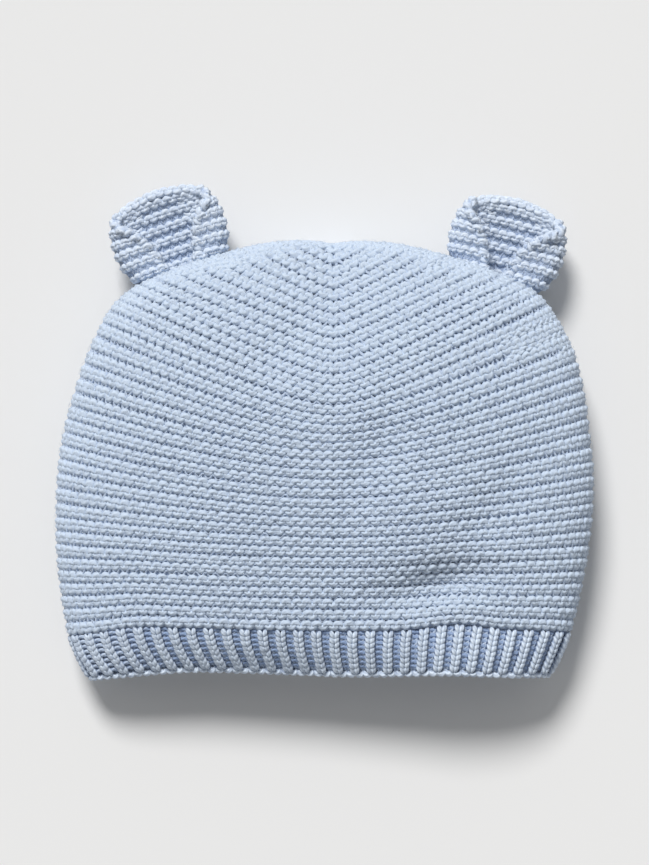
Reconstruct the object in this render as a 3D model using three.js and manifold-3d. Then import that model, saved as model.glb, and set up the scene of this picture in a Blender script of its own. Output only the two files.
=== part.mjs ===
// A baby hat with two round ears, knitted in garter stitch above a ribbed brim.
// It lies on its back as in a flat product shot: the brim opens towards -Y, the ears point
// towards +Y, the front faces up (+Z) and the back is pressed flat on the plane z = 0.
// Millimetres. Four closed solids: the hollow crown, the ribbed brim and the two curled ears.
import * as THREE from "three";
import { mergeVertices } from "three/addons/utils/BufferGeometryUtils.js";
import Module from "manifold-3d";

// Sizes of the crown
const crownWidth = 183; // side to side at its widest
const crownHeight = 133.5; // from the ribbing line to the top of the crown
const crownPuff = 43; // thickness of the hat as it lies
const crownWall = 3.6; // garter stitch fabric
const crownRidges = 37; // garter ridges from the ribbing line to the top
const ridgeRelief = 1.1; // depth of the groove between two ridges
const middleShift = 3; // the decrease line lies this far right of the middle

// Sizes of the brim
const brimHeight = 15; // length of the ribbing seen from the front
const brimEdgeWidth = 158; // width at the free edge
const brimWall = 3; // ribbed fabric
const brimRibs = 62; // knit ribs all the way round
const ribRelief = 1; // depth of the purl groove between two ribs

// Sizes of the ears
const earWidth = 41;
const earHeight = 30; // from the crown's outline to the tip
const earWall = 4.2; // thick garter stitch
const earCurl = 3.4; // radius of the rolled sides
const earCup = 3; // how far the middle of the ear sags towards the floor
const earLift = 9; // height of the ear's sheet over the floor

const seatGap = 0.3; // clearance where two pieces meet

const halfWidth = crownWidth / 2;

// Rings of the crown, from the ribbing line (at 0) to the top (at 1). A ring meets the
// outline at left and right and crosses the decrease line at middle. X is a share of half
// the crown's width, Y of its height. front and side are heights over the floor as shares
// of the puff. bend rounds the tip of the V that the ridges make.
const crownRings = [
  { at: 0.0, leftX: -0.956, leftY: -0.008, middleY: 0.0, rightX: 0.919, rightY: 0.0, front: 0.72, side: 0.3, bend: 0.9 },
  { at: 0.081, leftX: -0.981, leftY: 0.096, middleY: 0.089, rightX: 0.952, rightY: 0.096, front: 0.8, side: 0.3, bend: 0.9 },
  { at: 0.162, leftX: -0.996, leftY: 0.195, middleY: 0.17, rightX: 0.978, rightY: 0.193, front: 0.87, side: 0.31, bend: 0.85 },
  { at: 0.243, leftX: -1.0, leftY: 0.297, middleY: 0.249, rightX: 0.996, rightY: 0.297, front: 0.93, side: 0.31, bend: 0.75 },
  { at: 0.324, leftX: -0.993, leftY: 0.408, middleY: 0.322, rightX: 1.0, rightY: 0.404, front: 0.97, side: 0.32, bend: 0.6 },
  { at: 0.405, leftX: -0.97, leftY: 0.512, middleY: 0.393, rightX: 0.985, rightY: 0.513, front: 0.99, side: 0.32, bend: 0.48 },
  { at: 0.486, leftX: -0.93, leftY: 0.614, middleY: 0.462, rightX: 0.963, rightY: 0.619, front: 1.0, side: 0.33, bend: 0.35 },
  { at: 0.568, leftX: -0.874, leftY: 0.722, middleY: 0.53, rightX: 0.919, rightY: 0.728, front: 0.99, side: 0.34, bend: 0.24 },
  { at: 0.649, leftX: -0.798, leftY: 0.823, middleY: 0.605, rightX: 0.828, rightY: 0.838, front: 0.96, side: 0.35, bend: 0.15 },
  { at: 0.703, leftX: -0.726, leftY: 0.872, middleY: 0.657, rightX: 0.752, rightY: 0.882, front: 0.92, side: 0.36, bend: 0.11 },
  { at: 0.757, leftX: -0.637, leftY: 0.905, middleY: 0.718, rightX: 0.66, rightY: 0.912, front: 0.87, side: 0.37, bend: 0.08 },
  { at: 0.811, leftX: -0.515, leftY: 0.939, middleY: 0.779, rightX: 0.541, rightY: 0.944, front: 0.81, side: 0.37, bend: 0.07 },
  { at: 0.865, leftX: -0.37, leftY: 0.969, middleY: 0.841, rightX: 0.4, rightY: 0.972, front: 0.74, side: 0.37, bend: 0.06 },
  { at: 0.919, leftX: -0.219, leftY: 0.993, middleY: 0.904, rightX: 0.265, rightY: 0.992, front: 0.65, side: 0.37, bend: 0.06 },
  { at: 0.973, leftX: -0.075, leftY: 1.0, middleY: 0.967, rightX: 0.125, rightY: 0.998, front: 0.5, side: 0.37, bend: 0.1 },
  { at: 1.0, leftX: 0.028, leftY: 0.993, middleY: 0.991, rightX: 0.038, rightY: 0.993, front: 0.39, side: 0.37, bend: 0.5 },
];

// Rings of the brim, from the ribbing line (at 0) to the free edge (at 1). spread blends
// from the crown's lowest ring to the brim's edge width, drop is a share of the brim's
// height, front and side are shares of the puff as above.
const brimRings = [
  { at: 0.0, spread: 0.0, drop: 0.0, front: 0.72, side: 0.3 },
  { at: 0.35, spread: 0.28, drop: 0.35, front: 0.69, side: 0.28 },
  { at: 0.7, spread: 0.64, drop: 0.71, front: 0.63, side: 0.27 },
  { at: 1.0, spread: 1.0, drop: 1.0, front: 0.56, side: 0.26 },
];

// Soft dents (depth over 0) and swellings (under 0) of the front. x and y are shares as in
// the crown's rings, depth a share of the puff, along and across shares of half the width,
// turn the direction of its length in degrees.
const dents = [
  { x: 0.43, y: 0.12, depth: 0.1, along: 0.22, across: 0.085, turn: 12 },
  { x: 0.6, y: 0.3, depth: 0.045, along: 0.24, across: 0.1, turn: 55 },
  { x: 0.48, y: 0.035, depth: -0.035, along: 0.2, across: 0.06, turn: 5 },
  { x: 0.2, y: 0.46, depth: 0.055, along: 0.2, across: 0.1, turn: 70 },
  { x: -0.16, y: 0.72, depth: 0.03, along: 0.12, across: 0.08, turn: 60 },
];

// The ears: x and y give the middle of the base on the crown's outline (shares as in the
// rings), lean is the angle of the ear's length from +Y, towards +X if positive. flapLeft
// and flapRight say how far each rolled side lies over the cup, as shares of the width.
const ears = [
  { name: "ear_left", x: -0.526, y: 0.912, lean: -19, flapLeft: 0.31, flapRight: 0.3 },
  { name: "ear_right", x: 0.637, y: 0.886, lean: 15, flapLeft: 0.31, flapRight: 0.36 },
];

// Sections of an ear, from the base (at 0) to the tip (at 1). width and flap are shares of
// the ear's half width and of its flaps, curl of its curl radius, turn of a half turn, cup
// of its sag, lift of the curl radius.
const earSections = [
  { at: 0.0, width: 0.5, flap: 0.7, curl: 0.85, turn: 0.9, cup: 0.3, lift: -0.5 },
  { at: 0.167, width: 0.68, flap: 0.79, curl: 1.0, turn: 0.92, cup: 0.6, lift: -0.3 },
  { at: 0.3, width: 0.88, flap: 0.86, curl: 1.05, turn: 0.95, cup: 0.9, lift: 0.0 },
  { at: 0.42, width: 0.97, flap: 0.83, curl: 1.0, turn: 0.95, cup: 1.0, lift: 0.3 },
  { at: 0.55, width: 1.0, flap: 0.66, curl: 0.95, turn: 0.9, cup: 0.95, lift: 0.5 },
  { at: 0.68, width: 0.96, flap: 0.42, curl: 0.85, turn: 0.75, cup: 0.8, lift: 0.7 },
  { at: 0.8, width: 0.85, flap: 0.28, curl: 0.8, turn: 0.5, cup: 0.6, lift: 0.85 },
  { at: 0.9, width: 0.66, flap: 0.22, curl: 0.75, turn: 0.33, cup: 0.35, lift: 1.0 },
  { at: 0.98, width: 0.4, flap: 0.2, curl: 0.7, turn: 0.2, cup: 0.15, lift: 1.05 },
];

// The value of a table's column at a place between its rows, on a smooth Catmull-Rom curve.
function readTable(table, column, at) {
  const last = table.length - 1;
  let row = 0;
  while (row < last - 1 && table[row + 1].at < at) row += 1;
  const span = table[row + 1].at - table[row].at;
  const share = THREE.MathUtils.clamp((at - table[row].at) / span, 0, 1);
  const slopeAt = (i) => {
    const before = table[Math.max(i - 1, 0)];
    const after = table[Math.min(i + 1, last)];
    return (after[column] - before[column]) / (after.at - before.at);
  };
  const s2 = share * share;
  const s3 = s2 * share;
  return (
    (2 * s3 - 3 * s2 + 1) * table[row][column] +
    (s3 - 2 * s2 + share) * span * slopeAt(row) +
    (3 * s2 - 2 * s3) * table[row + 1][column] +
    (s3 - s2) * span * slopeAt(row + 1)
  );
}

// One ring of the crown in millimetres.
function crownRing(at) {
  const read = (column) => readTable(crownRings, column, at);
  return {
    left: new THREE.Vector2(read("leftX") * halfWidth, read("leftY") * crownHeight),
    right: new THREE.Vector2(read("rightX") * halfWidth, read("rightY") * crownHeight),
    middle: new THREE.Vector2(middleShift, read("middleY") * crownHeight),
    front: read("front") * crownPuff,
    side: read("side") * crownPuff,
    bend: read("bend"),
    tilt: THREE.MathUtils.smoothstep(at, 0, 0.12),
  };
}

// One ring of the brim: the crown's lowest ring, drawn in and moved down below the seam.
function brimRing(at) {
  const read = (column) => readTable(brimRings, column, at);
  const ring = crownRing(0);
  const inwards = ((ring.right.x - ring.left.x - brimEdgeWidth) / 2) * read("spread");
  const down = seatGap + (brimHeight - seatGap) * read("drop");
  ring.left.x += inwards;
  ring.right.x -= inwards;
  for (const point of [ring.left, ring.middle, ring.right]) point.y -= down;
  ring.front = read("front") * crownPuff;
  ring.side = read("side") * crownPuff;
  ring.tilt = 0;
  return ring;
}

const frontFullness = 0.62; // under 1 makes the front's section squarer than an ellipse
const backFullness = 0.5;
const backPress = 1.12; // over 1 presses the back flat against the floor

// How far the dents push the front down at a point seen from above.
function dentDepth(x, y) {
  return dents.reduce((sum, dent) => {
    const turn = THREE.MathUtils.degToRad(dent.turn);
    const dx = x - dent.x * halfWidth;
    const dy = y - dent.y * crownHeight;
    const u = (dx * Math.cos(turn) + dy * Math.sin(turn)) / (dent.along * halfWidth);
    const v = (dy * Math.cos(turn) - dx * Math.sin(turn)) / (dent.across * halfWidth);
    return sum + dent.depth * crownPuff * Math.exp(-u * u - v * v);
  }, 0);
}

// A point of a ring. angle 0 is its left end, then the front, pi its right end, then the back.
function ringPoint(ring, angle) {
  const across = -Math.cos(angle);
  const end = across < 0 ? ring.left : ring.right;
  const share = Math.abs(across) ** 0.9;
  const vShare =
    (Math.hypot(share, ring.bend) - ring.bend) / (Math.hypot(1, ring.bend) - ring.bend);
  const x = ring.middle.x + (end.x - ring.middle.x) * share;
  const y = ring.middle.y + (end.y - ring.middle.y) * vShare;
  const height = Math.abs(Math.sin(angle));
  if (Math.sin(angle) >= 0) {
    const rise = height ** frontFullness;
    const z = ring.side + (ring.front - ring.side) * rise - dentDepth(x, y) * rise;
    return new THREE.Vector3(x, y, z);
  }
  const press = Math.min(1, backPress * height ** backFullness);
  return new THREE.Vector3(x, y, ring.side * (1 - press));
}

// Angles that split each quarter of a ring into equal lengths, so that every ring has a
// point at both ends, on the decrease line and below it.
function evenAngles(ring, perQuarter) {
  const fine = 48;
  const angles = [];
  for (let quarter = 0; quarter < 4; quarter += 1) {
    const start = (quarter * Math.PI) / 2;
    const along = [0];
    for (let i = 1; i <= fine; i += 1) {
      const step = Math.PI / 2 / fine;
      const from = ringPoint(ring, start + (i - 1) * step + 1e-9);
      along.push(along[i - 1] + from.distanceTo(ringPoint(ring, start + i * step - 1e-9)));
    }
    for (let i = 0; i < perQuarter; i += 1) {
      const target = (along[fine] * i) / perQuarter;
      let j = 1;
      while (j < fine && along[j] < target) j += 1;
      const share = (target - along[j - 1]) / (along[j] - along[j - 1]);
      angles.push(start + ((j - 1 + share) * Math.PI) / 2 / fine);
    }
  }
  return angles;
}

// The outward normal of a surface of rings at a place and an angle. A ring's tilt of 0 keeps
// it square to the hat's length, so that two edges can meet at a seam.
function ringNormal(ringAt, at, angle) {
  const dAt = 0.004;
  const low = Math.max(0, at - dAt);
  const high = Math.min(1, at + dAt);
  const dAngle = 0.06;
  const along = ringPoint(ringAt(high), angle).sub(ringPoint(ringAt(low), angle));
  const ring = ringAt(Math.min(at, 0.985));
  const round = ringPoint(ring, angle + dAngle).sub(ringPoint(ring, angle - dAngle));
  const normal = round.cross(along).normalize();
  const inside = new THREE.Vector3(ring.middle.x, ring.middle.y, ring.front / 2);
  if (normal.dot(ringPoint(ring, angle).sub(inside)) < 0) normal.negate();
  normal.y *= ring.tilt;
  return normal.normalize();
}

// How flat a place is pressed: 1 where the back lies on the floor, 0 on the front and sides.
function pressed(ring, angle) {
  if (Math.sin(angle) >= 0) return 0;
  const press = backPress * Math.abs(Math.sin(angle)) ** backFullness;
  return THREE.MathUtils.smoothstep(press, 0.75, 0.98);
}

// A grid of points, one row for each ring, moved inwards from the smooth surface by
// depthAt(at, index, ring, angle).
function ringGrid(ringAt, places, perQuarter, depthAt) {
  return places.map((at) => {
    const ring = ringAt(at);
    return evenAngles(ring, perQuarter).map((angle, index) => {
      const depth = depthAt(at, index, ring, angle);
      return ringPoint(ring, angle).addScaledVector(ringNormal(ringAt, at, angle), -depth);
    });
  });
}

// Triangles of a closed skin from rows of equal length. Rows follow each other round the
// wall's section. closed joins the last row to the first, otherwise both ends are fans.
function skin(rows, closed) {
  const width = rows[0].length;
  const points = rows.flat();
  const triangles = [];
  const at = (row, column) => (row % rows.length) * width + (column % width);
  const last = closed ? rows.length : rows.length - 1;
  for (let row = 0; row < last; row += 1)
    for (let column = 0; column < width; column += 1) {
      const [a, b] = [at(row, column), at(row, column + 1)];
      const [c, d] = [at(row + 1, column + 1), at(row + 1, column)];
      triangles.push(a, b, c, a, c, d);
    }
  if (!closed)
    for (const [row, flip] of [[0, true], [rows.length - 1, false]]) {
      const hub = points.push(centreOf(rows[row])) - 1;
      for (let column = 0; column < width; column += 1) {
        const [a, b] = [at(row, column), at(row, column + 1)];
        triangles.push(...(flip ? [b, a, hub] : [a, b, hub]));
      }
    }
  return { points, triangles };
}

function centreOf(row) {
  return row.reduce((sum, p) => sum.add(p), new THREE.Vector3()).divideScalar(row.length);
}

// A BufferGeometry of a skin, turned so that its faces point out.
function geometryOf({ points, triangles }) {
  const geometry = new THREE.BufferGeometry();
  geometry.setAttribute(
    "position",
    new THREE.Float32BufferAttribute(points.flatMap((p) => [p.x, p.y, p.z]), 3),
  );
  geometry.setIndex(volumeOf(points, triangles) < 0 ? [...triangles].reverse() : triangles);
  return geometry;
}

function volumeOf(points, triangles) {
  let volume = 0;
  for (let i = 0; i < triangles.length; i += 3) {
    const [a, b, c] = [points[triangles[i]], points[triangles[i + 1]], points[triangles[i + 2]]];
    volume += a.dot(b.clone().cross(c)) / 6;
  }
  return volume;
}

const wasm = await Module();
wasm.setup();

function solidOf(geometry) {
  const merged = mergeVertices(geometry, 1e-4);
  return new wasm.Manifold(
    new wasm.Mesh({
      numProp: 3,
      vertProperties: merged.attributes.position.array,
      triVerts: new Uint32Array(merged.index.array),
    }),
  );
}

function geometryFromSolid(solid) {
  const { vertProperties, triVerts } = solid.getMesh();
  const geometry = new THREE.BufferGeometry();
  geometry.setAttribute("position", new THREE.BufferAttribute(vertProperties, 3));
  geometry.setIndex(new THREE.BufferAttribute(triVerts, 1));
  return geometry;
}

const crownQuarter = 10; // points on a quarter of a crown ring
const innerBend = 0.45; // bend of the inside's rings at the decrease line
const ribPoints = 4; // points on one rib and its groove

// Places of the crown's sections: grooves at whole ridges, crests half-way between them.
function ridgePlaces() {
  const places = [0];
  for (let ridge = 0; ridge < crownRidges; ridge += 1) {
    places.push((ridge + 0.5) / crownRidges);
    if (ridge < crownRidges - 1) places.push((ridge + 1) / crownRidges);
  }
  return places;
}

// The crown: garter ridges outside, a smooth inside one wall further in, open at the brim.
function crownSkin() {
  const groove = (at, index, ring, angle) => {
    const isGroove = Math.abs(at * crownRidges - Math.round(at * crownRidges)) < 0.25;
    return isGroove ? ridgeRelief * (1 - pressed(ring, angle)) : 0;
  };
  const outside = ringGrid(crownRing, ridgePlaces(), crownQuarter, groove);
  const insidePlaces = crownRings.map((ring) => ring.at).filter((at) => at < 0.95);
  const inside = ringGrid(smoothRing, insidePlaces, crownQuarter, () => crownWall);
  return skin([...outside.reverse(), ...inside], false);
}

// The crown's rings with the tip of each V rounded off, so that the inside has no crease.
function smoothRing(at) {
  const ring = crownRing(at);
  ring.bend = Math.max(ring.bend, innerBend);
  return ring;
}

// The outside of the crown as a full body, grown by the seat gap, to seat the ears against.
function crownBody() {
  return skin(ringGrid(crownRing, ridgePlaces(), crownQuarter, () => -seatGap), false);
}

// The brim: knit ribs stand out and purl grooves lie in between, on both sides of the wall.
function brimSkin() {
  const perQuarter = (brimRibs / 4) * ribPoints;
  const wave = (index, ring, angle) => {
    const inGroove = index % ribPoints >= ribPoints / 2;
    return inGroove ? ribRelief * (1 - pressed(ring, angle)) : 0;
  };
  const outer = (at, index, ring, angle) => wave(index, ring, angle);
  const inner = (at, index, ring, angle) => brimWall + wave(index, ring, angle);
  const outside = ringGrid(brimRing, [0, 0.5, 1], perQuarter, outer);
  const inside = ringGrid(brimRing, [0, 1], perQuarter, inner);
  return skin([...outside, ...inside.reverse()], true);
}

const rollSteps = 5; // steps round a rolled side
const flapSteps = 2; // steps along a flap
const cupSteps = 6; // steps across the cup

// A cross section of an ear: the middle line of its sheet from the left flap's edge, round
// the left roll, through the cup and out to the right flap, as places [across, up].
function earLine(read, ear) {
  const half = ((earWidth - earWall) / 2) * read("width");
  const curl = earCurl * read("curl");
  const turnOver = Math.PI * read("turn");
  const side = (sign, flapShare) => {
    const flap = Math.max(earWall / 3, flapShare * earWidth * read("flap") - curl);
    const points = [];
    for (let i = 0; i <= rollSteps; i += 1) {
      const angle = (turnOver * i) / rollSteps;
      points.push([sign * (half - curl + curl * Math.sin(angle)), curl - curl * Math.cos(angle)]);
    }
    const [lastX, lastZ] = points[rollSteps];
    for (let i = 1; i <= flapSteps; i += 1) {
      const go = (flap * i) / flapSteps;
      points.push([lastX + sign * Math.cos(turnOver) * go, lastZ + Math.sin(turnOver) * go]);
    }
    return points;
  };
  const cup = [];
  for (let i = 1; i < cupSteps; i += 1) {
    const share = (2 * i) / cupSteps - 1;
    cup.push([share * (half - curl), -earCup * read("cup") * (1 - share * share)]);
  }
  const left = side(-1, ear.flapLeft).reverse();
  return [...left, ...cup, ...side(1, ear.flapRight)];
}

const edgeFullness = 0.36; // half the thickness of a flap's free edge, as a share of the wall

// The middle line of a section turned into a closed band one wall thick.
function bandAround(line) {
  const points = line.map(([x, z]) => new THREE.Vector2(x, z));
  const normals = points.map((_, i) => {
    const before = points[Math.max(i - 1, 0)];
    const after = points[Math.min(i + 1, points.length - 1)];
    const along = after.clone().sub(before).normalize();
    return new THREE.Vector2(-along.y, along.x);
  });
  const offset = (sign) =>
    points.map((p, i) => {
      const isEnd = i === 0 || i === points.length - 1;
      const half = earWall * (isEnd ? edgeFullness : 0.5);
      return p.clone().addScaledVector(normals[i], sign * half);
    });
  return [...offset(1), ...offset(-1).reverse()];
}

const earBury = 6; // the ear's sheet runs this far inside the crown's outline before it is cut

function earSkin(ear) {
  const length = earHeight + earBury;
  const rows = [];
  const steps = 12;
  for (let i = 0; i <= steps; i += 1) {
    const at = Math.min(0.98, i / steps);
    const read = (column) => readTable(earSections, column, at);
    rows.push(
      bandAround(earLine(read, ear)).map(
        (p) => new THREE.Vector3(p.x, length * at - earBury, p.y + earCurl * read("lift")),
      ),
    );
  }
  return skin(rows, false);
}

function earGeometry(ear, body) {
  const geometry = geometryOf(earSkin(ear));
  geometry.rotateZ(THREE.MathUtils.degToRad(-ear.lean));
  geometry.translate(ear.x * halfWidth, ear.y * crownHeight, earLift);
  const seated = solidOf(geometry).subtract(body);
  const pieces = seated.decompose().sort((a, b) => b.volume() - a.volume());
  return geometryFromSolid(pieces[0]);
}

const knit = { roughness: 0.95, metalness: 0 };
const crownYarn = new THREE.MeshStandardMaterial({ color: 0xb6c9e3, ...knit });
const brimYarn = new THREE.MeshStandardMaterial({ color: 0xacbfda, ...knit });
const earYarn = new THREE.MeshStandardMaterial({ color: 0xb9cce5, ...knit });

function pieceMesh(name, geometry, material) {
  geometry.computeVertexNormals();
  const mesh = new THREE.Mesh(geometry, material);
  mesh.name = name;
  return mesh;
}

const hat = new THREE.Group();
hat.add(pieceMesh("crown", geometryOf(crownSkin()), crownYarn));
hat.add(pieceMesh("brim", geometryOf(brimSkin()), brimYarn));
const body = solidOf(geometryOf(crownBody()));
for (const ear of ears) hat.add(pieceMesh(ear.name, earGeometry(ear, body), earYarn));

// The origin is the middle of the hat's own box on the floor.
const bounds = new THREE.Box3().setFromObject(hat);
const middle = bounds.getCenter(new THREE.Vector3());
hat.position.set(-middle.x, -middle.y, 0);

export default hat;
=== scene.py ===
"""A knitted baby hat with two curled ears, lying flat on its back, seen from straight above.

Every stitch is a tube of yarn laid along the rows of the hat's own surface. Lengths are in
millimetres until a mesh is written; each mesh is written in metres, in the hat's frame: X to
the right, Y towards the ears, Z up from the floor.
"""
import logging
import math
from dataclasses import dataclass, field, replace
from enum import Enum, IntEnum
from typing import Callable

import bpy
import numpy as np
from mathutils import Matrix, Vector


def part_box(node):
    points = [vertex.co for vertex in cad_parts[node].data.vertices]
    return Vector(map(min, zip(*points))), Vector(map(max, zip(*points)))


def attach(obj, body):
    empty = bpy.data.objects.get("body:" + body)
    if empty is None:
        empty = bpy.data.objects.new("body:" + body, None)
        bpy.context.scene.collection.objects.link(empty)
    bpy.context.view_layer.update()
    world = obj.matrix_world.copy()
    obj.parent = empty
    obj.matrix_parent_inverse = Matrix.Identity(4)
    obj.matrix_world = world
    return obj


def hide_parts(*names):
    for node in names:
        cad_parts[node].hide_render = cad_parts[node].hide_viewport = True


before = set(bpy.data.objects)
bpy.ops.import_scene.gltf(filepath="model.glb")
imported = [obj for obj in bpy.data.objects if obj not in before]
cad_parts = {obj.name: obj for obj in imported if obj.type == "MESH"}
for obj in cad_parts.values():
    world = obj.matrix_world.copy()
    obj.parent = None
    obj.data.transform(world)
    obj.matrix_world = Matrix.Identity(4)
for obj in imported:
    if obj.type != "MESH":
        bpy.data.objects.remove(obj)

MM = 0.001
log = logging.getLogger("baby_hat")

Surface = Callable[[np.ndarray, np.ndarray], np.ndarray]

SLOPE_STEP = 0.3  # share of the distance between two rows over which a surface's slope is taken
SEAM_PITCH = 4.6  # room for a row that lies on a line of its own, in millimetres
END_BULGE = 0.35  # how far a tube's end cone stands out, as a share of its radius
ROPE_POINTS = 9  # points on one turn of a wound strand
LONG_WAVE, SHORT_WAVE = 23.0, 9.0  # lengths of the two waves in which a row wavers
STRAIGHT = np.zeros(4)  # a row that doesn't waver


# Shape of the hat


class CrownColumn(IntEnum):
    """Columns of CROWN_RINGS after the place: shares of half the width, the height and the puff."""

    LEFT_X = 1
    LEFT_Y = 2
    MIDDLE_Y = 3
    RIGHT_X = 4
    RIGHT_Y = 5
    FRONT = 6
    SIDE = 7
    BEND = 8


class BrimColumn(IntEnum):
    """Columns of BRIM_RINGS after the place."""

    SPREAD = 1
    DROP = 2
    FRONT = 3
    SIDE = 4


class DrapeColumn(IntEnum):
    """Columns of DRAPE after the place across."""

    SEAM_UP = 1
    EDGE_UP = 2
    EDGE_RAISED = 3


class EarColumn(IntEnum):
    """Columns of EAR_SECTIONS after the place."""

    WIDTH = 1
    FLAP = 2
    CURL = 3
    TURN = 4
    CUP = 5
    LIFT = 6


# Rings of the crown from the ribbing line to the top, in the order of CrownColumn.
CROWN_RINGS = np.array([
    (0.000, -0.956, -0.008, 0.000, 0.919, 0.000, 0.77, 0.30, 0.90),
    (0.081, -0.981, 0.096, 0.089, 0.952, 0.096, 0.82, 0.30, 0.90),
    (0.162, -0.996, 0.195, 0.170, 0.978, 0.193, 0.865, 0.31, 0.85),
    (0.243, -1.000, 0.297, 0.249, 0.996, 0.297, 0.905, 0.31, 0.75),
    (0.324, -0.993, 0.408, 0.322, 1.000, 0.404, 0.94, 0.32, 0.60),
    (0.405, -0.970, 0.512, 0.393, 0.985, 0.513, 0.965, 0.32, 0.48),
    (0.486, -0.930, 0.614, 0.462, 0.963, 0.619, 0.985, 0.33, 0.35),
    (0.568, -0.874, 0.722, 0.530, 0.919, 0.728, 0.995, 0.34, 0.24),
    (0.649, -0.798, 0.823, 0.605, 0.828, 0.838, 0.975, 0.35, 0.15),
    (0.703, -0.726, 0.872, 0.657, 0.752, 0.882, 0.94, 0.36, 0.11),
    (0.757, -0.637, 0.905, 0.718, 0.660, 0.912, 0.885, 0.37, 0.08),
    (0.811, -0.515, 0.939, 0.779, 0.541, 0.944, 0.82, 0.37, 0.07),
    (0.865, -0.370, 0.969, 0.841, 0.400, 0.972, 0.74, 0.37, 0.06),
    (0.919, -0.219, 0.993, 0.904, 0.265, 0.992, 0.65, 0.37, 0.06),
    (0.973, -0.075, 1.000, 0.967, 0.125, 0.998, 0.50, 0.37, 0.10),
    (1.000, 0.028, 0.993, 0.991, 0.038, 0.993, 0.39, 0.37, 0.50),
])

# Rings of the brim: place, spread towards the edge's width, drop, front and side heights.
BRIM_RINGS = np.array([
    (0.00, 0.00, 0.00, 0.77, 0.30),
    (0.35, 0.28, 0.35, 0.74, 0.28),
    (0.70, 0.64, 0.71, 0.68, 0.27),
    (1.00, 1.00, 1.00, 0.61, 0.26),
])

# Soft dents of the front: x, y, depth, length, breadth as shares, and the turn in degrees.
DENTS = (
    (0.43, 0.12, 0.100, 0.22, 0.085, 12.0),
    (0.60, 0.30, 0.045, 0.24, 0.100, 55.0),
    (0.48, 0.035, -0.012, 0.20, 0.060, 5.0),
    (0.20, 0.46, 0.055, 0.20, 0.100, 70.0),
    (-0.16, 0.72, 0.030, 0.12, 0.080, 60.0),
)

# How the front lies, by the place across as a share of half the width, in millimetres: how far
# the seam and the free edge are drawn up the hat, and how far the front's free edge is raised.
DRAPE = np.array([
    (-1.00, 0.0, 0.0, 0.0),
    (-0.84, 2.0, 0.9, -0.6),
    (-0.70, 3.9, 2.0, -1.6),
    (-0.50, 3.1, 2.9, -2.3),
    (-0.22, 2.1, 2.0, -2.2),
    (0.03, 1.7, 1.1, -1.0),
    (0.28, 2.0, 1.5, 2.2),
    (0.38, 3.1, 2.0, 4.2),
    (0.46, 4.1, 2.2, 5.2),
    (0.54, 4.0, 2.0, 5.6),
    (0.64, 2.7, 1.5, 5.4),
    (0.80, 1.9, 1.1, 3.6),
    (0.92, 1.1, 0.5, 0.8),
    (1.00, 0.0, 0.0, 0.0),
])

# Sections of an ear: place, width, flap, curl, turn, cup and lift as shares.
EAR_SECTIONS = np.array([
    (0.000, 0.50, 0.70, 0.85, 0.92, 0.30, -0.50),
    (0.167, 0.68, 0.79, 1.00, 0.96, 0.60, -0.30),
    (0.300, 0.88, 0.86, 1.05, 0.99, 0.90, 0.00),
    (0.420, 0.97, 0.90, 1.00, 1.00, 1.00, 0.30),
    (0.550, 1.00, 0.80, 0.95, 0.98, 0.95, 0.50),
    (0.680, 0.98, 0.58, 0.85, 0.87, 0.80, 0.70),
    (0.800, 0.90, 0.34, 0.80, 0.56, 0.60, 0.85),
    (0.900, 0.74, 0.22, 0.75, 0.33, 0.35, 1.00),
    (0.980, 0.46, 0.20, 0.70, 0.20, 0.15, 1.05),
])


def read_table(table: np.ndarray, column: int, at: np.ndarray) -> np.ndarray:
    """Value of a table's column between its rows, on a smooth Catmull-Rom curve.

    Args:
        table: rows of values, with the place in the first column.
        column: which column to read.
        at: places, of any shape.

    Returns:
        The values, in the shape of at.
    """
    places = table[:, 0]
    values = table[:, column]
    row = np.clip(np.searchsorted(places, at, side="right") - 1, 0, len(places) - 2)
    span = places[row + 1] - places[row]
    share = np.clip((at - places[row]) / span, 0.0, 1.0)
    slopes = np.empty_like(values)
    slopes[1:-1] = (values[2:] - values[:-2]) / (places[2:] - places[:-2])
    slopes[0] = (values[1] - values[0]) / (places[1] - places[0])
    slopes[-1] = (values[-1] - values[-2]) / (places[-1] - places[-2])
    s2 = share * share
    s3 = s2 * share
    return ((2 * s3 - 3 * s2 + 1) * values[row] + (s3 - 2 * s2 + share) * span * slopes[row]
            + (3 * s2 - 2 * s3) * values[row + 1] + (s3 - s2) * span * slopes[row + 1])


@dataclass(frozen=True)
class Ring:
    """Rings of the hat, one for each place that was asked for, in millimetres."""

    left_x: np.ndarray
    left_y: np.ndarray
    middle_x: np.ndarray
    middle_y: np.ndarray
    right_x: np.ndarray
    right_y: np.ndarray
    front: np.ndarray
    side: np.ndarray
    bend: np.ndarray


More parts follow.
